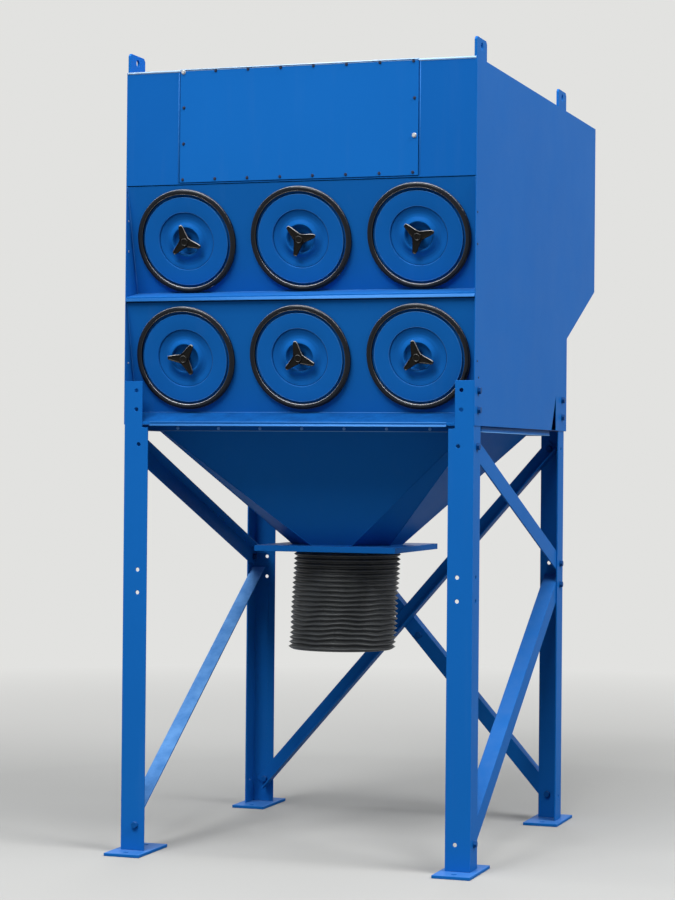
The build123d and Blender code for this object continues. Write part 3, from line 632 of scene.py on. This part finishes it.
def steel_material(name, colour, metallic, roughness):
    """Plated steel with small differences of tone and polish."""
    material, nodes, links, shader, place = new_material(name)
    tone = add_patches(nodes, links, place, (60.0, 4.0), 0.3, 0.7, 0, 1)
    darker = shade(colour, STEEL_TONE_FACTOR)
    links.new(add_mix(nodes, links, tone, colour, darker), shader.inputs["Base Color"])
    shader.inputs["Metallic"].default_value = metallic
    rough = add_patches(nodes, links, place, (120.0,), 0.3, 0.7, roughness - 0.06, roughness + 0.1)
    links.new(rough, shader.inputs["Roughness"])
    add_bump(nodes, links, shader, add_noise(nodes, links, place, 500.0, 2.0), 0.10 * MM)
    return material


paint = paint_material("cabinet_paint", 0.04)
roof_paint = paint_material("roof_paint", 0.20)
# Painted shade: the lower panel's up-facing ledge darkened
lower_panel_shade_paint = paint_material("lower_panel_shade_paint", 0.90, dust_and_light_colour=LEDGE_SHADE_COLOUR)
band_paint = paint_material("band_paint", 0.04, colours=(PAINT_DARK_COLOUR, PAINT_SHADE_COLOUR))
# Painted light: the lower left brace's up-facing faces lightened
top_lit_brace_paint = paint_material("brace_top_light_paint", 1.0, dust_and_light_colour=BRACE_TOP_LIGHT_COLOUR)
brace_paint = paint_material("brace_paint", 0.10)
foot_paint = paint_material("foot_paint", 0.14, 0.45)
# Painted highlight: paler paint for hems, welds, folds and the covers' edges, where light catches them
highlight_paint = paint_material("highlight_paint", 0.10, 0.28, (PAINT_SCUFF_AND_HIGHLIGHT_COLOUR, PAINT_COLOUR))
# Painted highlight for the hopper flange's rim and its lip bolts
rim_highlight_paint = paint_material("rim_highlight_paint", 0.20, 0.25, (RIM_HIGHLIGHT_COLOUR, PAINT_SCUFF_AND_HIGHLIGHT_COLOUR))
# Painted highlight along the roof's front hem, its up-facing share raised to lighten it further
roof_hem_highlight_paint = paint_material("roof_hem_highlight_paint", 0.55, 0.25, (ROOF_HEM_HIGHLIGHT_COLOUR, RIM_HIGHLIGHT_COLOUR))
# Painted highlight on the seals' up-facing sides
gasket_rubber = rubber_material("gasket_rubber", GASKET_COLOUR, 0.15, 260.0, 0.17, 0.06, (0.4, 0.8, 0.14))
# Painted highlight: the lips' up-facing sides fully pale
seal_highlight_rubber = rubber_material("seal_lip_highlight_rubber", GASKET_COLOUR, 0.20, 260.0, 0.5, 0.06, (0.10, 0.45, 1.0))
hose_rubber = rubber_material("hose_rubber", HOSE_COLOUR, 0.42, 180.0, 0.35, 0.30)
knob_plastic = plastic_material()
zinc = steel_material("zinc_plate", ZINC_COLOUR, 0.85, 0.34)
# Painted shadow for joints and creases
shadow_line_paint = paint_material("seam_shadow_paint", 0.0, 0.5, (SEAM_SHADOW_COLOUR, SEAM_SHADOW_COLOUR))
painted_bolt = paint_material("bolt_paint", 0.10, 0.30, (BOLT_COLOUR, PAINT_DARK_COLOUR))
dark_screw = steel_material("dark_screw", SCREW_COLOUR, 0.1, 0.36)


# Solids that stay: merged copies with their finish, edges rounded as on sheet and rolled steel

NODE_PAINT = {
    "foot_plates": foot_paint, "front_band": band_paint, "brace_left_lower": top_lit_brace_paint,
    "cover_panel_lower": lower_panel_shade_paint, "roof_panel": roof_paint,
}
OWN_PIECES = ("cover_gaskets", "cover_studs", "drop_hose", "hose_clamp")


def finish_of(node):
    """The paint that a solid gets by its name."""
    braces = node.startswith(("brace_", "cross_brace"))
    return NODE_PAINT.get(node, brace_paint if braces else paint)


def is_own_piece(node):
    """True for a solid that has a finer piece of its own below."""
    round_cover = node.startswith("cover_") and not node.startswith("cover_panel")
    return node in OWN_PIECES or node.startswith("knob_") or round_cover


def dressed_copy(node, solid):
    """A copy of a solid with its doubles merged, its flats whole and its sharp edges rounded."""
    work = bmesh.new()
    work.from_mesh(solid.data)
    bmesh.ops.remove_doubles(work, verts=work.verts, dist=MERGE_DISTANCE)
    bmesh.ops.dissolve_limit(work, angle_limit=FLAT_ANGLE, verts=work.verts, edges=work.edges)
    mesh = bpy.data.meshes.new(f"dressed_{node}")
    work.to_mesh(mesh)
    work.free()
    mesh.materials.clear()
    mesh.materials.append(finish_of(node))
    mesh.polygons.foreach_set("use_smooth", np.full(len(mesh.polygons), True))
    piece = bpy.data.objects.new(f"dressed_{node}", mesh)
    bpy.context.collection.objects.link(piece)
    edge = piece.modifiers.new("rounded", "BEVEL")
    edge.width = next((w for start, w in ROUND_EDGE.items() if node.startswith(start)), SHEET_EDGE)
    edge.segments = 2
    edge.limit_method = "ANGLE"
    edge.angle_limit = SHARP_ANGLE
    edge.use_clamp_overlap = False
    flats = piece.modifiers.new("flats", "WEIGHTED_NORMAL")
    flats.keep_sharp = True
    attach(piece, solid["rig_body"])
    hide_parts(node)


# Covers, gaskets and knobs

def spot_of(joint):
    """Name of the cover that a knob's joint belongs to."""
    return joint["name"].removeprefix("knob_").removesuffix("_turn")


def cover_profile():
    """The pressed cover's face from its rim to its hub, and the same line a sheet lower back again."""
    face = rounded(np.array(COVER_FACE) * MM, np.array(COVER_ROUND) * MM, steps=4)
    tangent = np.gradient(face, axis=0)
    tangent /= np.linalg.norm(tangent, axis=1)[:, None]
    back = face + COVER_SHEET * np.stack([-tangent[:, 1], tangent[:, 0]], axis=1)
    inner, skirt = COVER_BACK_SPAN
    back = back[(back[:, 0] > inner) & (back[:, 0] < skirt)]
    line = np.concatenate([face, [(inner, -COVER_SHEET)], back[::-1], [(skirt, 0.0)]])
    apart = np.linalg.norm(line - np.roll(line, 1, axis=0), axis=1) > MERGE_DISTANCE
    return line[apart]


def cover_piece(joint):
    """One pressed cover: its profile turned about the joint's axis."""
    spot = spot_of(joint)
    points = revolve(cover_profile(), COVER_COLUMNS)
    placed = on_joint(points, joint)
    piece = make_piece(f"pressed_cover_{spot}", placed, ring_faces(points), paint)
    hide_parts(f"cover_{spot}")


def gasket_profile():
    """A round rubber section with a flat foot where it lies on the panel, as (radius, height)."""
    foot = math.asin(GASKET_LIFT / GASKET_TUBE)
    angle = np.linspace(-foot, math.pi + foot, GASKET_POINTS)
    r = GASKET_CENTRE + GASKET_TUBE * np.cos(angle)
    z = GASKET_LIFT + GASKET_TUBE * np.sin(angle)
    return np.stack([r, z], axis=1)


def gasket_piece(joints):
    """The six seals as one mesh: a round section turned about each axis, uneven, with a butt joint.

    The radius swells by two small sines of the angle, with 3 and 7 turns a circle. At its joint the
    section is pinched by a share, and the joint lies a step further round on each next seal.
    """
    rings = revolve(gasket_profile(), COVER_COLUMNS)
    faces = ring_faces(rings)
    radius = np.hypot(rings[:, :, 0], rings[:, :, 1])
    angle = np.linspace(0, 2 * np.pi, COVER_COLUMNS, endpoint=False)
    parts = []
    for i, joint in enumerate(joints):
        swell = 1 + 0.0012 * np.sin(3 * angle + i) + 0.0008 * np.sin(7 * angle + 2 * i)
        from_seam = np.abs((angle - SEAM_ANGLE - SEAM_STEP * i + np.pi) % (2 * np.pi) - np.pi)
        pinch = 1 - SEAM_PINCH * (from_seam < np.pi / COVER_COLUMNS)
        wide = swell * (GASKET_CENTRE + (radius - GASKET_CENTRE) * pinch) / radius
        ring = rings * np.stack([wide, wide, pinch + 0 * wide], axis=-1)
        parts.append((on_joint(ring, joint), faces, ()))
    points, quads, _ = join_meshes(parts)
    piece = make_piece("rubber_seals", points, quads, gasket_rubber)
    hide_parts("cover_gaskets")


def ring_beads(name, joints, circles, material):
    """Thin round rings about each cover's axis: a small circle turned about the axis at each radius."""
    parts = []
    angle = np.linspace(0, 2 * np.pi, RING_SIDES, endpoint=False)
    for radius, height, thickness in circles:
        section = np.stack([radius + thickness * np.cos(angle), height + thickness * np.sin(angle)], axis=1)
        ring = revolve(section * MM, COVER_COLUMNS)
        faces = ring_faces(ring)
        parts += [(on_joint(ring, joint), faces, ()) for joint in joints]
    points, quads, _ = join_meshes(parts)
    make_piece(name, points, quads, material)


def knob_outline(angle):
    """Outline radius by angle: a wing's straight tapered sides cut by its tip, blended to the head."""
    lean = (angle + np.pi / 3) % (2 * np.pi / 3) - np.pi / 3
    taper = (KNOB_ROOT_HALF - KNOB_TIP_HALF) / KNOB_REACH
    side = KNOB_ROOT_HALF / (np.abs(np.sin(lean)) + taper * np.cos(lean))
    tip = KNOB_REACH / np.cos(lean)
    wing = (side ** -10 + tip ** -10) ** (-1 / 10)
    return (wing ** 8 + KNOB_HEAD_RADIUS ** 8) ** (1 / 8), lean


def knob_top(radius, lean):
    """Height of the knob's upper face.

    A wing falls slowly to its tip, is dished inside a raised edge, and is rounded at its outline. The
    head has a raised ring round a flat face. The two are blended over the last part of the head.
    """
    along = radius * np.cos(lean)
    across = np.abs(radius * np.sin(lean))
    share = np.clip(along / KNOB_REACH, 0, 1)
    half = KNOB_ROOT_HALF + (KNOB_TIP_HALF - KNOB_ROOT_HALF) * share
    inset = np.clip(np.minimum(half - across, KNOB_REACH - along), 0, None)
    drop, width = KNOB_EDGE_ROUND
    edge = drop * (1 - np.sin(np.clip(inset / width, 0, 1) * np.pi / 2))
    wing = KNOB_TOP - KNOB_TIP_DROP * share - edge - KNOB_DISH * rise(inset, *KNOB_DISH_SPAN)
    outside = rise(radius, *KNOB_RING_OUTSIDE)
    head = KNOB_FACE - KNOB_DISH * outside + KNOB_RING * (rise(radius, *KNOB_RING_INSIDE) - outside)
    blend = rise(radius, *KNOB_HEAD_BLEND)
    return head * (1 - blend) + wing * blend


def knob_points():
    """Rings from the boss's foot, out under the wings, up their sides and in over the upper face.

    The points of a ring crowd towards the middle of each wing, as the 1.5th power of their share of the
    third. With the rings come the painted highlight values of their points.
    """
    fine = np.linspace(-1, 1, KNOB_WING_POINTS)
    third = np.sign(fine) * np.abs(fine) ** 1.5 * np.pi / 3
    angle = np.concatenate([third[:-1] + k * 2 * np.pi / 3 for k in range(3)])
    outline, lean = knob_outline(angle)

    def ring(radius, height):
        return np.stack([radius * np.cos(angle), radius * np.sin(angle), height + 0 * angle], axis=-1)

    rings = [ring(radius * MM, height * MM) for radius, height in KNOB_BOSS_RINGS]
    rings += [ring(outline - inset * MM, height * MM) for inset, height in KNOB_SIDE_RINGS]
    rings.append(ring(outline, knob_top(outline, lean) - KNOB_RIM_DROP))
    lit_edge = [0.0] * (len(rings) - 1) + [1.0]
    for share in KNOB_OUTER_SHARES:
        radius = KNOB_HUB + (outline - KNOB_HUB) * share
        rings.append(ring(radius, knob_top(radius, lean)))
        lit_edge.append(1.0 if share > KNOB_HIGHLIGHT_SHARE else 0.0)
    place, reach, lit_ring = KNOB_HIGHLIGHT_RING
    for radius in KNOB_INNER_RINGS:
        rings.append(ring(radius * MM, knob_top(radius * MM + 0 * lean, lean)))
        lit_edge.append(lit_ring if abs(radius - place) < reach else 0.0)
    return np.stack(rings), np.repeat(lit_edge, len(angle))


def knob_piece(joint):
    """One three-wing knob on its own body, its wings turned as in the photograph."""
    spot = spot_of(joint)
    points, lit_edge = knob_points()
    faces, caps = tube_faces(points)
    placed = on_joint(points, joint, math.radians(KNOB_TURNS[spot]))
    name = f"wing_knob_{spot}"
    piece = make_piece(name, placed, faces, knob_plastic, joint["child"], caps=caps)
    edge = piece.data.attributes.new(HIGHLIGHT_ATTRIBUTE, "FLOAT", "POINT")
    edge.data.foreach_set("value", lit_edge)
    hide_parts(f"knob_{spot}")


def stud_mesh(joint):
    """A threaded stud: its radius falls and rises with the angle less the height, once a pitch."""
    low, high = STUD_SPAN
    rows = int((high - low) / STUD_PITCH * STUD_ROWS)
    height = np.linspace(low, high, rows)[:, None]
    angle = np.linspace(0, 2 * np.pi, STUD_SIDES, endpoint=False)[None, :]
    phase = (angle / (2 * np.pi) - height / STUD_PITCH) % 1.0
    radius = STUD_RADIUS - STUD_THREAD * np.abs(2 * phase - 1)
    points = np.stack([radius * np.cos(angle), radius * np.sin(angle), height + 0 * angle], axis=-1)
    return on_joint(points, joint), *tube_faces(points)


def stud_piece(joints):
    """The six threaded studs that the knobs turn on."""
    points, faces, caps = join_meshes([stud_mesh(joint) for joint in joints])
    piece = make_piece("threaded_studs", points, faces, zinc, caps=caps)
    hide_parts("cover_studs")


# Drop hose and clamp

def hose_piece():
    """Thin-walled hose: radius a rounded zigzag of the depth, its axis leaning, its folds wavier below.

    A fold rises and falls by three sines of the angle, with 2, 5 and 11 turns a circle, that shift
    with the depth. They grow with the depth and die out at the lower end, which is level.
    """
    low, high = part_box("drop_hose")
    length = high.z - low.z
    middle_y = (low.y + high.y) / 2
    cuff = np.linspace(0, HOSE_CUFF, 4)
    run = np.linspace(HOSE_CUFF, length, HOSE_RIDGES * HOSE_RIDGE_ROWS + 1)[1:]
    depth = np.concatenate([cuff, run])[:, None]
    angle = np.linspace(0, 2 * np.pi, HOSE_COLUMNS, endpoint=False)[None, :]
    phase = np.clip((depth - HOSE_CUFF) / (length - HOSE_CUFF), 0, 1)
    saw = np.abs(((phase * HOSE_RIDGES) % 1.0) - 0.5) * 2
    ridge = np.where(depth > HOSE_CUFF, HOSE_STEP_OUT + (1 - saw) ** 0.8 * HOSE_RIDGE_DEPTH, 0.0)
    outer = HOSE_BORE + HOSE_WALL + ridge
    droop = phase ** 1.4
    wave = np.sin(2 * angle + 5 * phase) + 0.6 * np.sin(5 * angle - 7 * phase + 1)
    wave += 0.35 * np.sin(11 * angle + 13 * phase)
    z = high.z - depth + HOSE_WAVE * droop * wave * (1 - phase ** 8)
    sag = 1 + HOSE_SAG * droop * np.sin(3 * angle + 9 * phase)
    lean = -HOSE_LEAN * phase ** 1.2
    skins = []
    for radius in (outer, outer - HOSE_SKIN):
        r = radius * sag
        skins.append(np.stack([lean + r * np.cos(angle), middle_y + r * np.sin(angle), z], axis=-1))
    points = np.concatenate([skins[0], skins[1][::-1]])
    piece = make_piece("corrugated_hose", points, ring_faces(points), hose_rubber)
    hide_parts("drop_hose")


def rounded_block(centre, axes, half):
    """A block with soft edges: a superellipse section, shrunk to its ends by the same rule."""
    t = np.linspace(-np.pi / 2, np.pi / 2, BLOCK_ROWS)[1:-1][:, None]
    a = np.linspace(0, 2 * np.pi, BLOCK_COLUMNS, endpoint=False)[None, :]

    def bend(value):
        return np.sign(value) * np.abs(value) ** (2 / BLOCK_POWER)

    x = half[0] * bend(np.cos(t)) * bend(np.cos(a))
    y = half[1] * bend(np.cos(t)) * bend(np.sin(a))
    z = half[2] * bend(np.sin(t)) + 0 * a
    points = np.stack([x, y, z], axis=-1) @ axes.T + centre
    return points, *tube_faces(points)


def clamp_piece():
    """The hose's band with its rolled edges, its screw housing and the screw's head."""
    low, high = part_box("hose_clamp")
    centre = (np.array(low) + np.array(high)) / 2
    r = (high.x - low.x) / 2
    band = revolve(np.array(CLAMP_SECTION) * MM + (r, 0.0), COVER_COLUMNS) + centre
    up = np.array((0.0, 0.0, 1.0))
    out = np.array((math.cos(CLAMP_SCREW_ANGLE), math.sin(CLAMP_SCREW_ANGLE), 0.0))
    along = np.cross(out, up)
    axes = np.stack([out, up, along], axis=1)
    housing = rounded_block(centre + out * (r + CLAMP_HOUSING_OUT), axes, CLAMP_HOUSING)
    shape = hex_head(CLAMP_SCREW, SMALL_HEAD_COLUMNS)
    tip = centre + out * (r + CLAMP_SCREW_OUT) + along * CLAMP_SCREW_ALONG
    head = (set_on(shape, tip, along), *tube_faces(shape))
    points, faces, caps = join_meshes([(band, ring_faces(band), ()), housing, head])
    piece = make_piece("hose_band_clamp", points, faces, zinc, caps=caps)
    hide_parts("hose_clamp")


# Hems, folds and welds of the sheet metal

def place_at(x, spot):
    """A point from its X in metres and its (depth, height) line point in millimetres."""
    return (x, FRONT + spot[0] * MM, spot[1] * MM)


def hem_pieces():
    """Folded hems along the ledges and the roof's front, in paler paint as painted highlights where they
    catch the light.
    """
    full = PANEL_HALF - HEM_END_GAP
    ledges = [
        hem_mesh(UPPER_HEM, -full, full), hem_mesh(LOWER_HEM, -LEG_INSIDE, LEG_INSIDE),
        hem_mesh(LOWER_LIP, -LEG_INSIDE, LEG_INSIDE),
    ]
    points, faces, caps = join_meshes(ledges)
    make_piece("ledge_hem_highlights", points, faces, highlight_paint, caps=caps)
    low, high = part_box("front_access_panel")
    proud = (low.y - FRONT) / MM
    foot = high.z / MM + PANEL_HEM_GAP
    back = ROOF_HEM[0][0]
    over_panel = [
        (depth + (proud if depth < 0 else 0), height + PANEL_HEM_RISE) for depth, height in ROOF_HEM[:3]
    ]
    over_panel += [(proud - back, foot), (back, foot)]
    left, right = low.x - PANEL_HEM_PAST, high.x + PANEL_HEM_PAST
    points, faces, caps = join_meshes([hem_mesh(ROOF_HEM, -full, full), hem_mesh(over_panel, left, right)])
    make_piece("roof_front_hem_highlight", points, faces, roof_hem_highlight_paint, caps=caps)


def fold_pieces():
    """Welds where the slanted panels meet the sides, and the folds at the feet of the panels, in paler paint
    as painted highlights.
    """
    inside = PANEL_HALF - FOLD_INSET
    lines = (UPPER_PANEL_LINE, LOWER_PANEL_LINE)
    sides = [(place_at(x, foot), place_at(x, head)) for x in (-inside, inside) for foot, head in lines]
    beads("panel_side_weld_highlights", sides, highlight_paint)
    folds = [(place_at(-inside, foot), place_at(inside, foot)) for foot, _ in lines]
    beads("panel_fold_highlights", folds, highlight_paint)


def seam_pieces():
    """Painted shadow lines in the joints round the removable panel and under the side panels, with painted
    highlight lines on the folds beside them.
    """
    low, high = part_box("front_access_panel")
    left, right, foot = low.x - JOINT_OUT, high.x + JOINT_OUT, low.z - JOINT_OUT
    corners = [(x, FRONT, z) for x, z in ((left, high.z), (left, foot), (right, foot), (right, high.z))]
    beads("panel_joint_shadows", zip(corners, corners[1:]), shadow_line_paint)
    ahead, behind = SIDE_JOINT_ENDS
    start, end = FRONT + ahead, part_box("leg_rear_right")[1].y - behind
    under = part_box("side_panel_right")[0].z - SIDE_JOINT_DROP
    out = PANEL_HALF + SIDE_JOINT_INTO
    beads("side_panel_joint_shadows", [((x, start, under), (x, end, under)) for x in (-out, out)], shadow_line_paint)
    beside = (low.x - PANEL_FOLD_GAP, high.x + PANEL_FOLD_GAP)
    beads("panel_frame_fold_highlights", [((x, FRONT, low.z), (x, FRONT, high.z)) for x in beside], highlight_paint)


def flange_rim():
    """The turned lower rim of the hopper's bolted flange, in paler paint as a painted highlight."""
    low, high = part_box("hopper_top_flange")
    corners = [(low.x, low.y, low.z), (high.x, low.y, low.z), (high.x, high.y, low.z), (low.x, high.y, low.z)]
    beads("hopper_flange_rim_highlight", round_lines(corners), rim_highlight_paint)


def eight_corners(half, front, rear, cut, height):
    """Corners of an eight-sided outline: a rectangle with its corners cut."""
    return [
        (half - cut, front, height), (half, front + cut, height), (half, rear - cut, height),
        (half - cut, rear, height), (cut - half, rear, height), (-half, rear - cut, height),
        (-half, front + cut, height), (cut - half, front, height),
    ]


def hopper_welds():
    """Weld beads down the hopper's eight corners and round its outlet."""
    top, low = eight_corners(*HOPPER_TOP), eight_corners(*HOPPER_OUTLET)
    beads("hopper_corner_welds", zip(top, low), paint)
    beads("hopper_outlet_welds", round_lines(low), paint)


# Bolts and screws

def hex_head(size, columns):
    """Rings of a washer and a six-sided head: washer edge, head sides and a chamfered top.

    The head's radius is half its width across the flats, over the cosine of the angle from the middle
    of the nearest flat.
    """
    across, height, washer_radius, washer = size
    angle = np.linspace(0, 2 * np.pi, columns, endpoint=False)
    from_flat = (angle + np.pi / 6) % (np.pi / 3) - np.pi / 6
    side = across / 2 / np.cos(from_flat)
    rings = [
        (washer_radius, 0.0), (washer_radius, washer * 0.8), (washer_radius * 0.95, washer),
        (side, washer), (side, washer + height * 0.85),
        (np.minimum(side, across / 2 * 1.02) * 0.97, washer + height),
    ]
    points = [np.stack([r * np.cos(angle), r * np.sin(angle), z + 0 * angle], axis=-1) for r, z in rings]
    return np.stack(points)


def fasteners(name, size, spots, material, columns=BOLT_COLUMNS):
    """Many heads as one mesh, each turned at random. A spot is a place and the way that its head points."""
    shape = hex_head(size, columns)
    faces, caps = tube_faces(shape)
    draw = np.random.default_rng(BOLT_SEED)
    parts = []
    for place, normal in spots:
        turn = draw.uniform(0, math.pi / 3)
        parts.append((set_on(shape, place, normal, turn), faces, caps))
    points, quads, ends = join_meshes(parts)
    make_piece(name, points, quads, material, smooth=False, caps=ends)


def panel_screws():
    """Screws round the removable panel, on its face. Two of them are newer and bright."""
    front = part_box("front_access_panel")[0].y
    spots = [(x, z) for x in PANEL_SCREW_XS for z in (PANEL_SCREW_ZS[0], PANEL_SCREW_ZS[-1])]
    spots += [(side * PANEL_SCREW_SIDE, z) for side in (-1, 1) for z in PANEL_SCREW_ZS[1:-1]]
    bright = [(PANEL_SCREW_XS[0], PANEL_SCREW_ZS[0]), (PANEL_SCREW_SIDE, PANEL_SCREW_ZS[2])]
    dark = [((x, front, z), (0, -1, 0)) for x, z in spots if (x, z) not in bright]
    fasteners("panel_screws", SCREW, dark, dark_screw, SMALL_HEAD_COLUMNS)
    light = [((x, front, z), (0, -1, 0)) for x, z in bright]
    fasteners("bright_panel_screws", BRIGHT_SCREW, light, zinc, SMALL_HEAD_COLUMNS)


def side_bolts():
    """Bolt heads outside each side and nuts inside it, where the braces and the cabinet are bolted."""
    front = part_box("leg_front_right")[0].y + SIDE_GAUGE
    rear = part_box("leg_rear_right")[1].y - SIDE_GAUGE
    leg_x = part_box("leg_front_right")[1].x
    panel_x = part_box("side_panel_right")[1].x
    inside = leg_x - BRACE_THICKNESS
    heads, nuts = [], []
    for side in (-1, 1):
        for y in (front, rear):
            for key in ("top", "top_low"):
                heads.append(((side * panel_x, y, HOLE_HEIGHTS[key]), (side, 0, 0)))
                nuts.append(((side * inside, y, HOLE_HEIGHTS[key]), (-side, 0, 0)))
        for y, key in ((front, "upper"), (front, "foot"), (rear, "middle"), (rear, "middle_low")):
            heads.append(((side * leg_x, y, HOLE_HEIGHTS[key]), (side, 0, 0)))
            nuts.append(((side * (inside - BRACE_THICKNESS), y, HOLE_HEIGHTS[key]), (-side, 0, 0)))
    return heads, nuts


def end_bolts():
    """Bolts of the rear cross braces and of their crossing, and the left front leg's lowest bolt."""
    leg_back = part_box("leg_rear_right")[1].y
    hole_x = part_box("leg_rear_right")[1].x - FLANGE_GAUGE
    heads, nuts = [], []
    for x, key, outside in ((1, "foot", True), (-1, "upper", True), (1, "upper", False), (-1, "foot", False)):
        behind = leg_back + (BRACE_THICKNESS if outside else 0)
        ahead = leg_back - (1 if outside else 2) * BRACE_THICKNESS
        heads.append(((x * hole_x, behind, HOLE_HEIGHTS[key]), (0, 1, 0)))
        nuts.append(((x * hole_x, ahead, HOLE_HEIGHTS[key]), (0, -1, 0)))
    cross_x, cross_z = CROSS_BOLT_PLACE
    heads.append(((cross_x, leg_back, cross_z), (0, -1, 0)))
    leg_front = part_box("leg_front_left")[0].y
    heads.append(((-hole_x, leg_front, HOLE_HEIGHTS["foot"]), (0, -1, 0)))
    return heads, nuts


def leg_bolts():
    """Every bolt and nut of the stand, as one piece of heads and one of nuts."""
    side_heads, side_nuts = side_bolts()
    end_heads, end_nuts = end_bolts()
    fasteners("frame_bolts", BOLT, side_heads + end_heads, painted_bolt)
    fasteners("frame_nuts", NUT, side_nuts + end_nuts, painted_bolt)


def lip_bolts():
    """Small bolts along the front of the hopper's flange, in paler paint as painted highlights, and rivets
    down the side panels' front edge.
    """
    low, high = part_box("hopper_top_flange")
    lip_z = (low.z + high.z) / 2 - LIP_BOLT_DROP
    spots = [((x, low.y, lip_z), (0, -1, 0)) for x in LIP_BOLT_XS]
    fasteners("hopper_lip_bolts", LIP_BOLT, spots, rim_highlight_paint, SMALL_HEAD_COLUMNS)
    panel_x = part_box("side_panel_right")[1].x
    rivets = [(place_at(side * panel_x, spot), (side, 0, 0)) for side in (-1, 1) for spot in SIDE_RIVETS]
    fasteners("side_panel_rivets", RIVET, rivets, dark_screw, SMALL_HEAD_COLUMNS)
    inner = SIDE_RIVETS[:3]
    backs = [(place_at(side * PANEL_HALF, spot), (-side, 0, 0)) for side in (-1, 1) for spot in inner]
    fasteners("side_rivet_backs", RIVET, backs, zinc, SMALL_HEAD_COLUMNS)


# Stage, light and camera

def seen_by_camera(nodes, links):
    """One for rays from the camera, and for what shiny or clear surfaces show; else zero."""
    path = nodes.new("ShaderNodeLightPath")
    seen = add_math(nodes, links, "MAXIMUM", path.outputs["Is Camera Ray"], path.outputs["Is Glossy Ray"])
    return add_math(nodes, links, "MAXIMUM", seen, path.outputs["Is Transmission Ray"])


def make_floor():
    """A wide pale disc that keeps the shadow, gives back little light and fades into the backdrop."""
    points = revolve([(radius, 0.0) for radius in FLOOR_RINGS], FLOOR_COLUMNS)
    mesh = bpy.data.meshes.new("floor")
    faces = [tuple(f) for f in grid_faces(len(FLOOR_RINGS), FLOOR_COLUMNS).tolist()]
    mesh.from_pydata(points.reshape(-1, 3).tolist(), [], faces + [tuple(range(FLOOR_COLUMNS))])
    floor = bpy.data.objects.new("floor", mesh)
    bpy.context.collection.objects.link(floor)
    material, nodes, links, shader, place = new_material("floor")
    seen = seen_by_camera(nodes, links)
    colour = add_mix(nodes, links, seen, FLOOR_BOUNCE_COLOUR, FLOOR_VIEW_COLOUR)
    links.new(colour, shader.inputs["Base Color"])
    shader.inputs["Roughness"].default_value = 0.9
    shader.inputs["Specular IOR Level"].default_value = 0.1
    distance = nodes.new("ShaderNodeVectorMath")
    distance.operation = "LENGTH"
    links.new(place, distance.inputs[0])
    far = add_range(nodes, links, distance.outputs["Value"], *FLOOR_FADE, 0, 1)
    backdrop = nodes.new("ShaderNodeEmission")
    backdrop.inputs["Color"].default_value = VIEW_COLOUR
    sweep = nodes.new("ShaderNodeMixShader")
    links.new(add_math(nodes, links, "MULTIPLY", far, seen), sweep.inputs["Fac"])
    links.new(shader.outputs["BSDF"], sweep.inputs[1])
    links.new(backdrop.outputs["Emission"], sweep.inputs[2])
    links.new(sweep.outputs["Shader"], nodes["Material Output"].inputs["Surface"])
    mesh.materials.append(material)


def make_sky():
    """Faint even light from all round, and a plain pale background where it is seen."""
    world = bpy.data.worlds.new("studio")
    bpy.context.scene.world = world
    world.use_nodes = True
    nodes, links = world.node_tree.nodes, world.node_tree.links
    light = nodes["Background"]
    light.inputs["Color"].default_value = SKY_COLOUR
    light.inputs["Strength"].default_value = SKY_STRENGTH
    view = nodes.new("ShaderNodeBackground")
    view.inputs["Color"].default_value = VIEW_COLOUR
    mix = nodes.new("ShaderNodeMixShader")
    links.new(seen_by_camera(nodes, links), mix.inputs["Fac"])
    links.new(light.outputs["Background"], mix.inputs[1])
    links.new(view.outputs["Background"], mix.inputs[2])
    links.new(mix.outputs["Shader"], nodes["World Output"].inputs["Surface"])


def add_lamp(name, place, target, size, radiance):
    """A soft rectangular lamp that points at a target. Its power is pi times area times radiance."""
    data = bpy.data.lights.new(name, "AREA")
    data.shape = "RECTANGLE"
    data.size, data.size_y = size
    data.energy = math.pi * size[0] * size[1] * radiance
    lamp = bpy.data.objects.new(name, data)
    lamp.location = place
    lamp.rotation_euler = (Vector(target) - Vector(place)).to_track_quat("-Z", "Y").to_euler()
    bpy.context.collection.objects.link(lamp)


def make_camera():
    """The photograph's camera."""
    data = bpy.data.cameras.new("camera")
    data.lens = CAMERA_LENS
    data.sensor_width = CAMERA_SENSOR
    data.shift_x, data.shift_y = CAMERA_SHIFT
    data.clip_end = CAMERA_SIGHT
    camera = bpy.data.objects.new("camera", data)
    camera.location = CAMERA_PLACE
    camera.rotation_euler = [math.radians(a) for a in CAMERA_TURN]
    bpy.context.collection.objects.link(camera)
    bpy.context.scene.camera = camera


knob_joints = list(frame["joints"])
for joint in knob_joints:
    cover_piece(joint)
    knob_piece(joint)
gasket_piece(knob_joints)
# Painted highlight lines on the seals' lips
ring_beads("seal_lip_highlights", knob_joints, SEAL_LIP_HIGHLIGHTS, seal_highlight_rubber)
# Painted highlights: paler rings on the covers' pressed edges
ring_beads("cover_edge_highlights", knob_joints, COVER_EDGE_HIGHLIGHTS, highlight_paint)
# Painted shadow: dark rings in the covers' creases
ring_beads("cover_crease_shadows", knob_joints, COVER_CREASE_SHADOWS, shadow_line_paint)
stud_piece(knob_joints)
hose_piece()
clamp_piece()
hem_pieces()
fold_pieces()
seam_pieces()
flange_rim()
hopper_welds()
panel_screws()
leg_bolts()
lip_bolts()
for node_name, solid in list(frame["nodes"].items()):
    if not is_own_piece(node_name):
        dressed_copy(node_name, solid)

make_floor()
make_sky()
for lamp_name, (place, target, size, radiance) in LAMPS.items():
    add_lamp(lamp_name, place, target, size, radiance)
make_camera()
bpy.context.scene.view_settings.view_transform = "Standard"
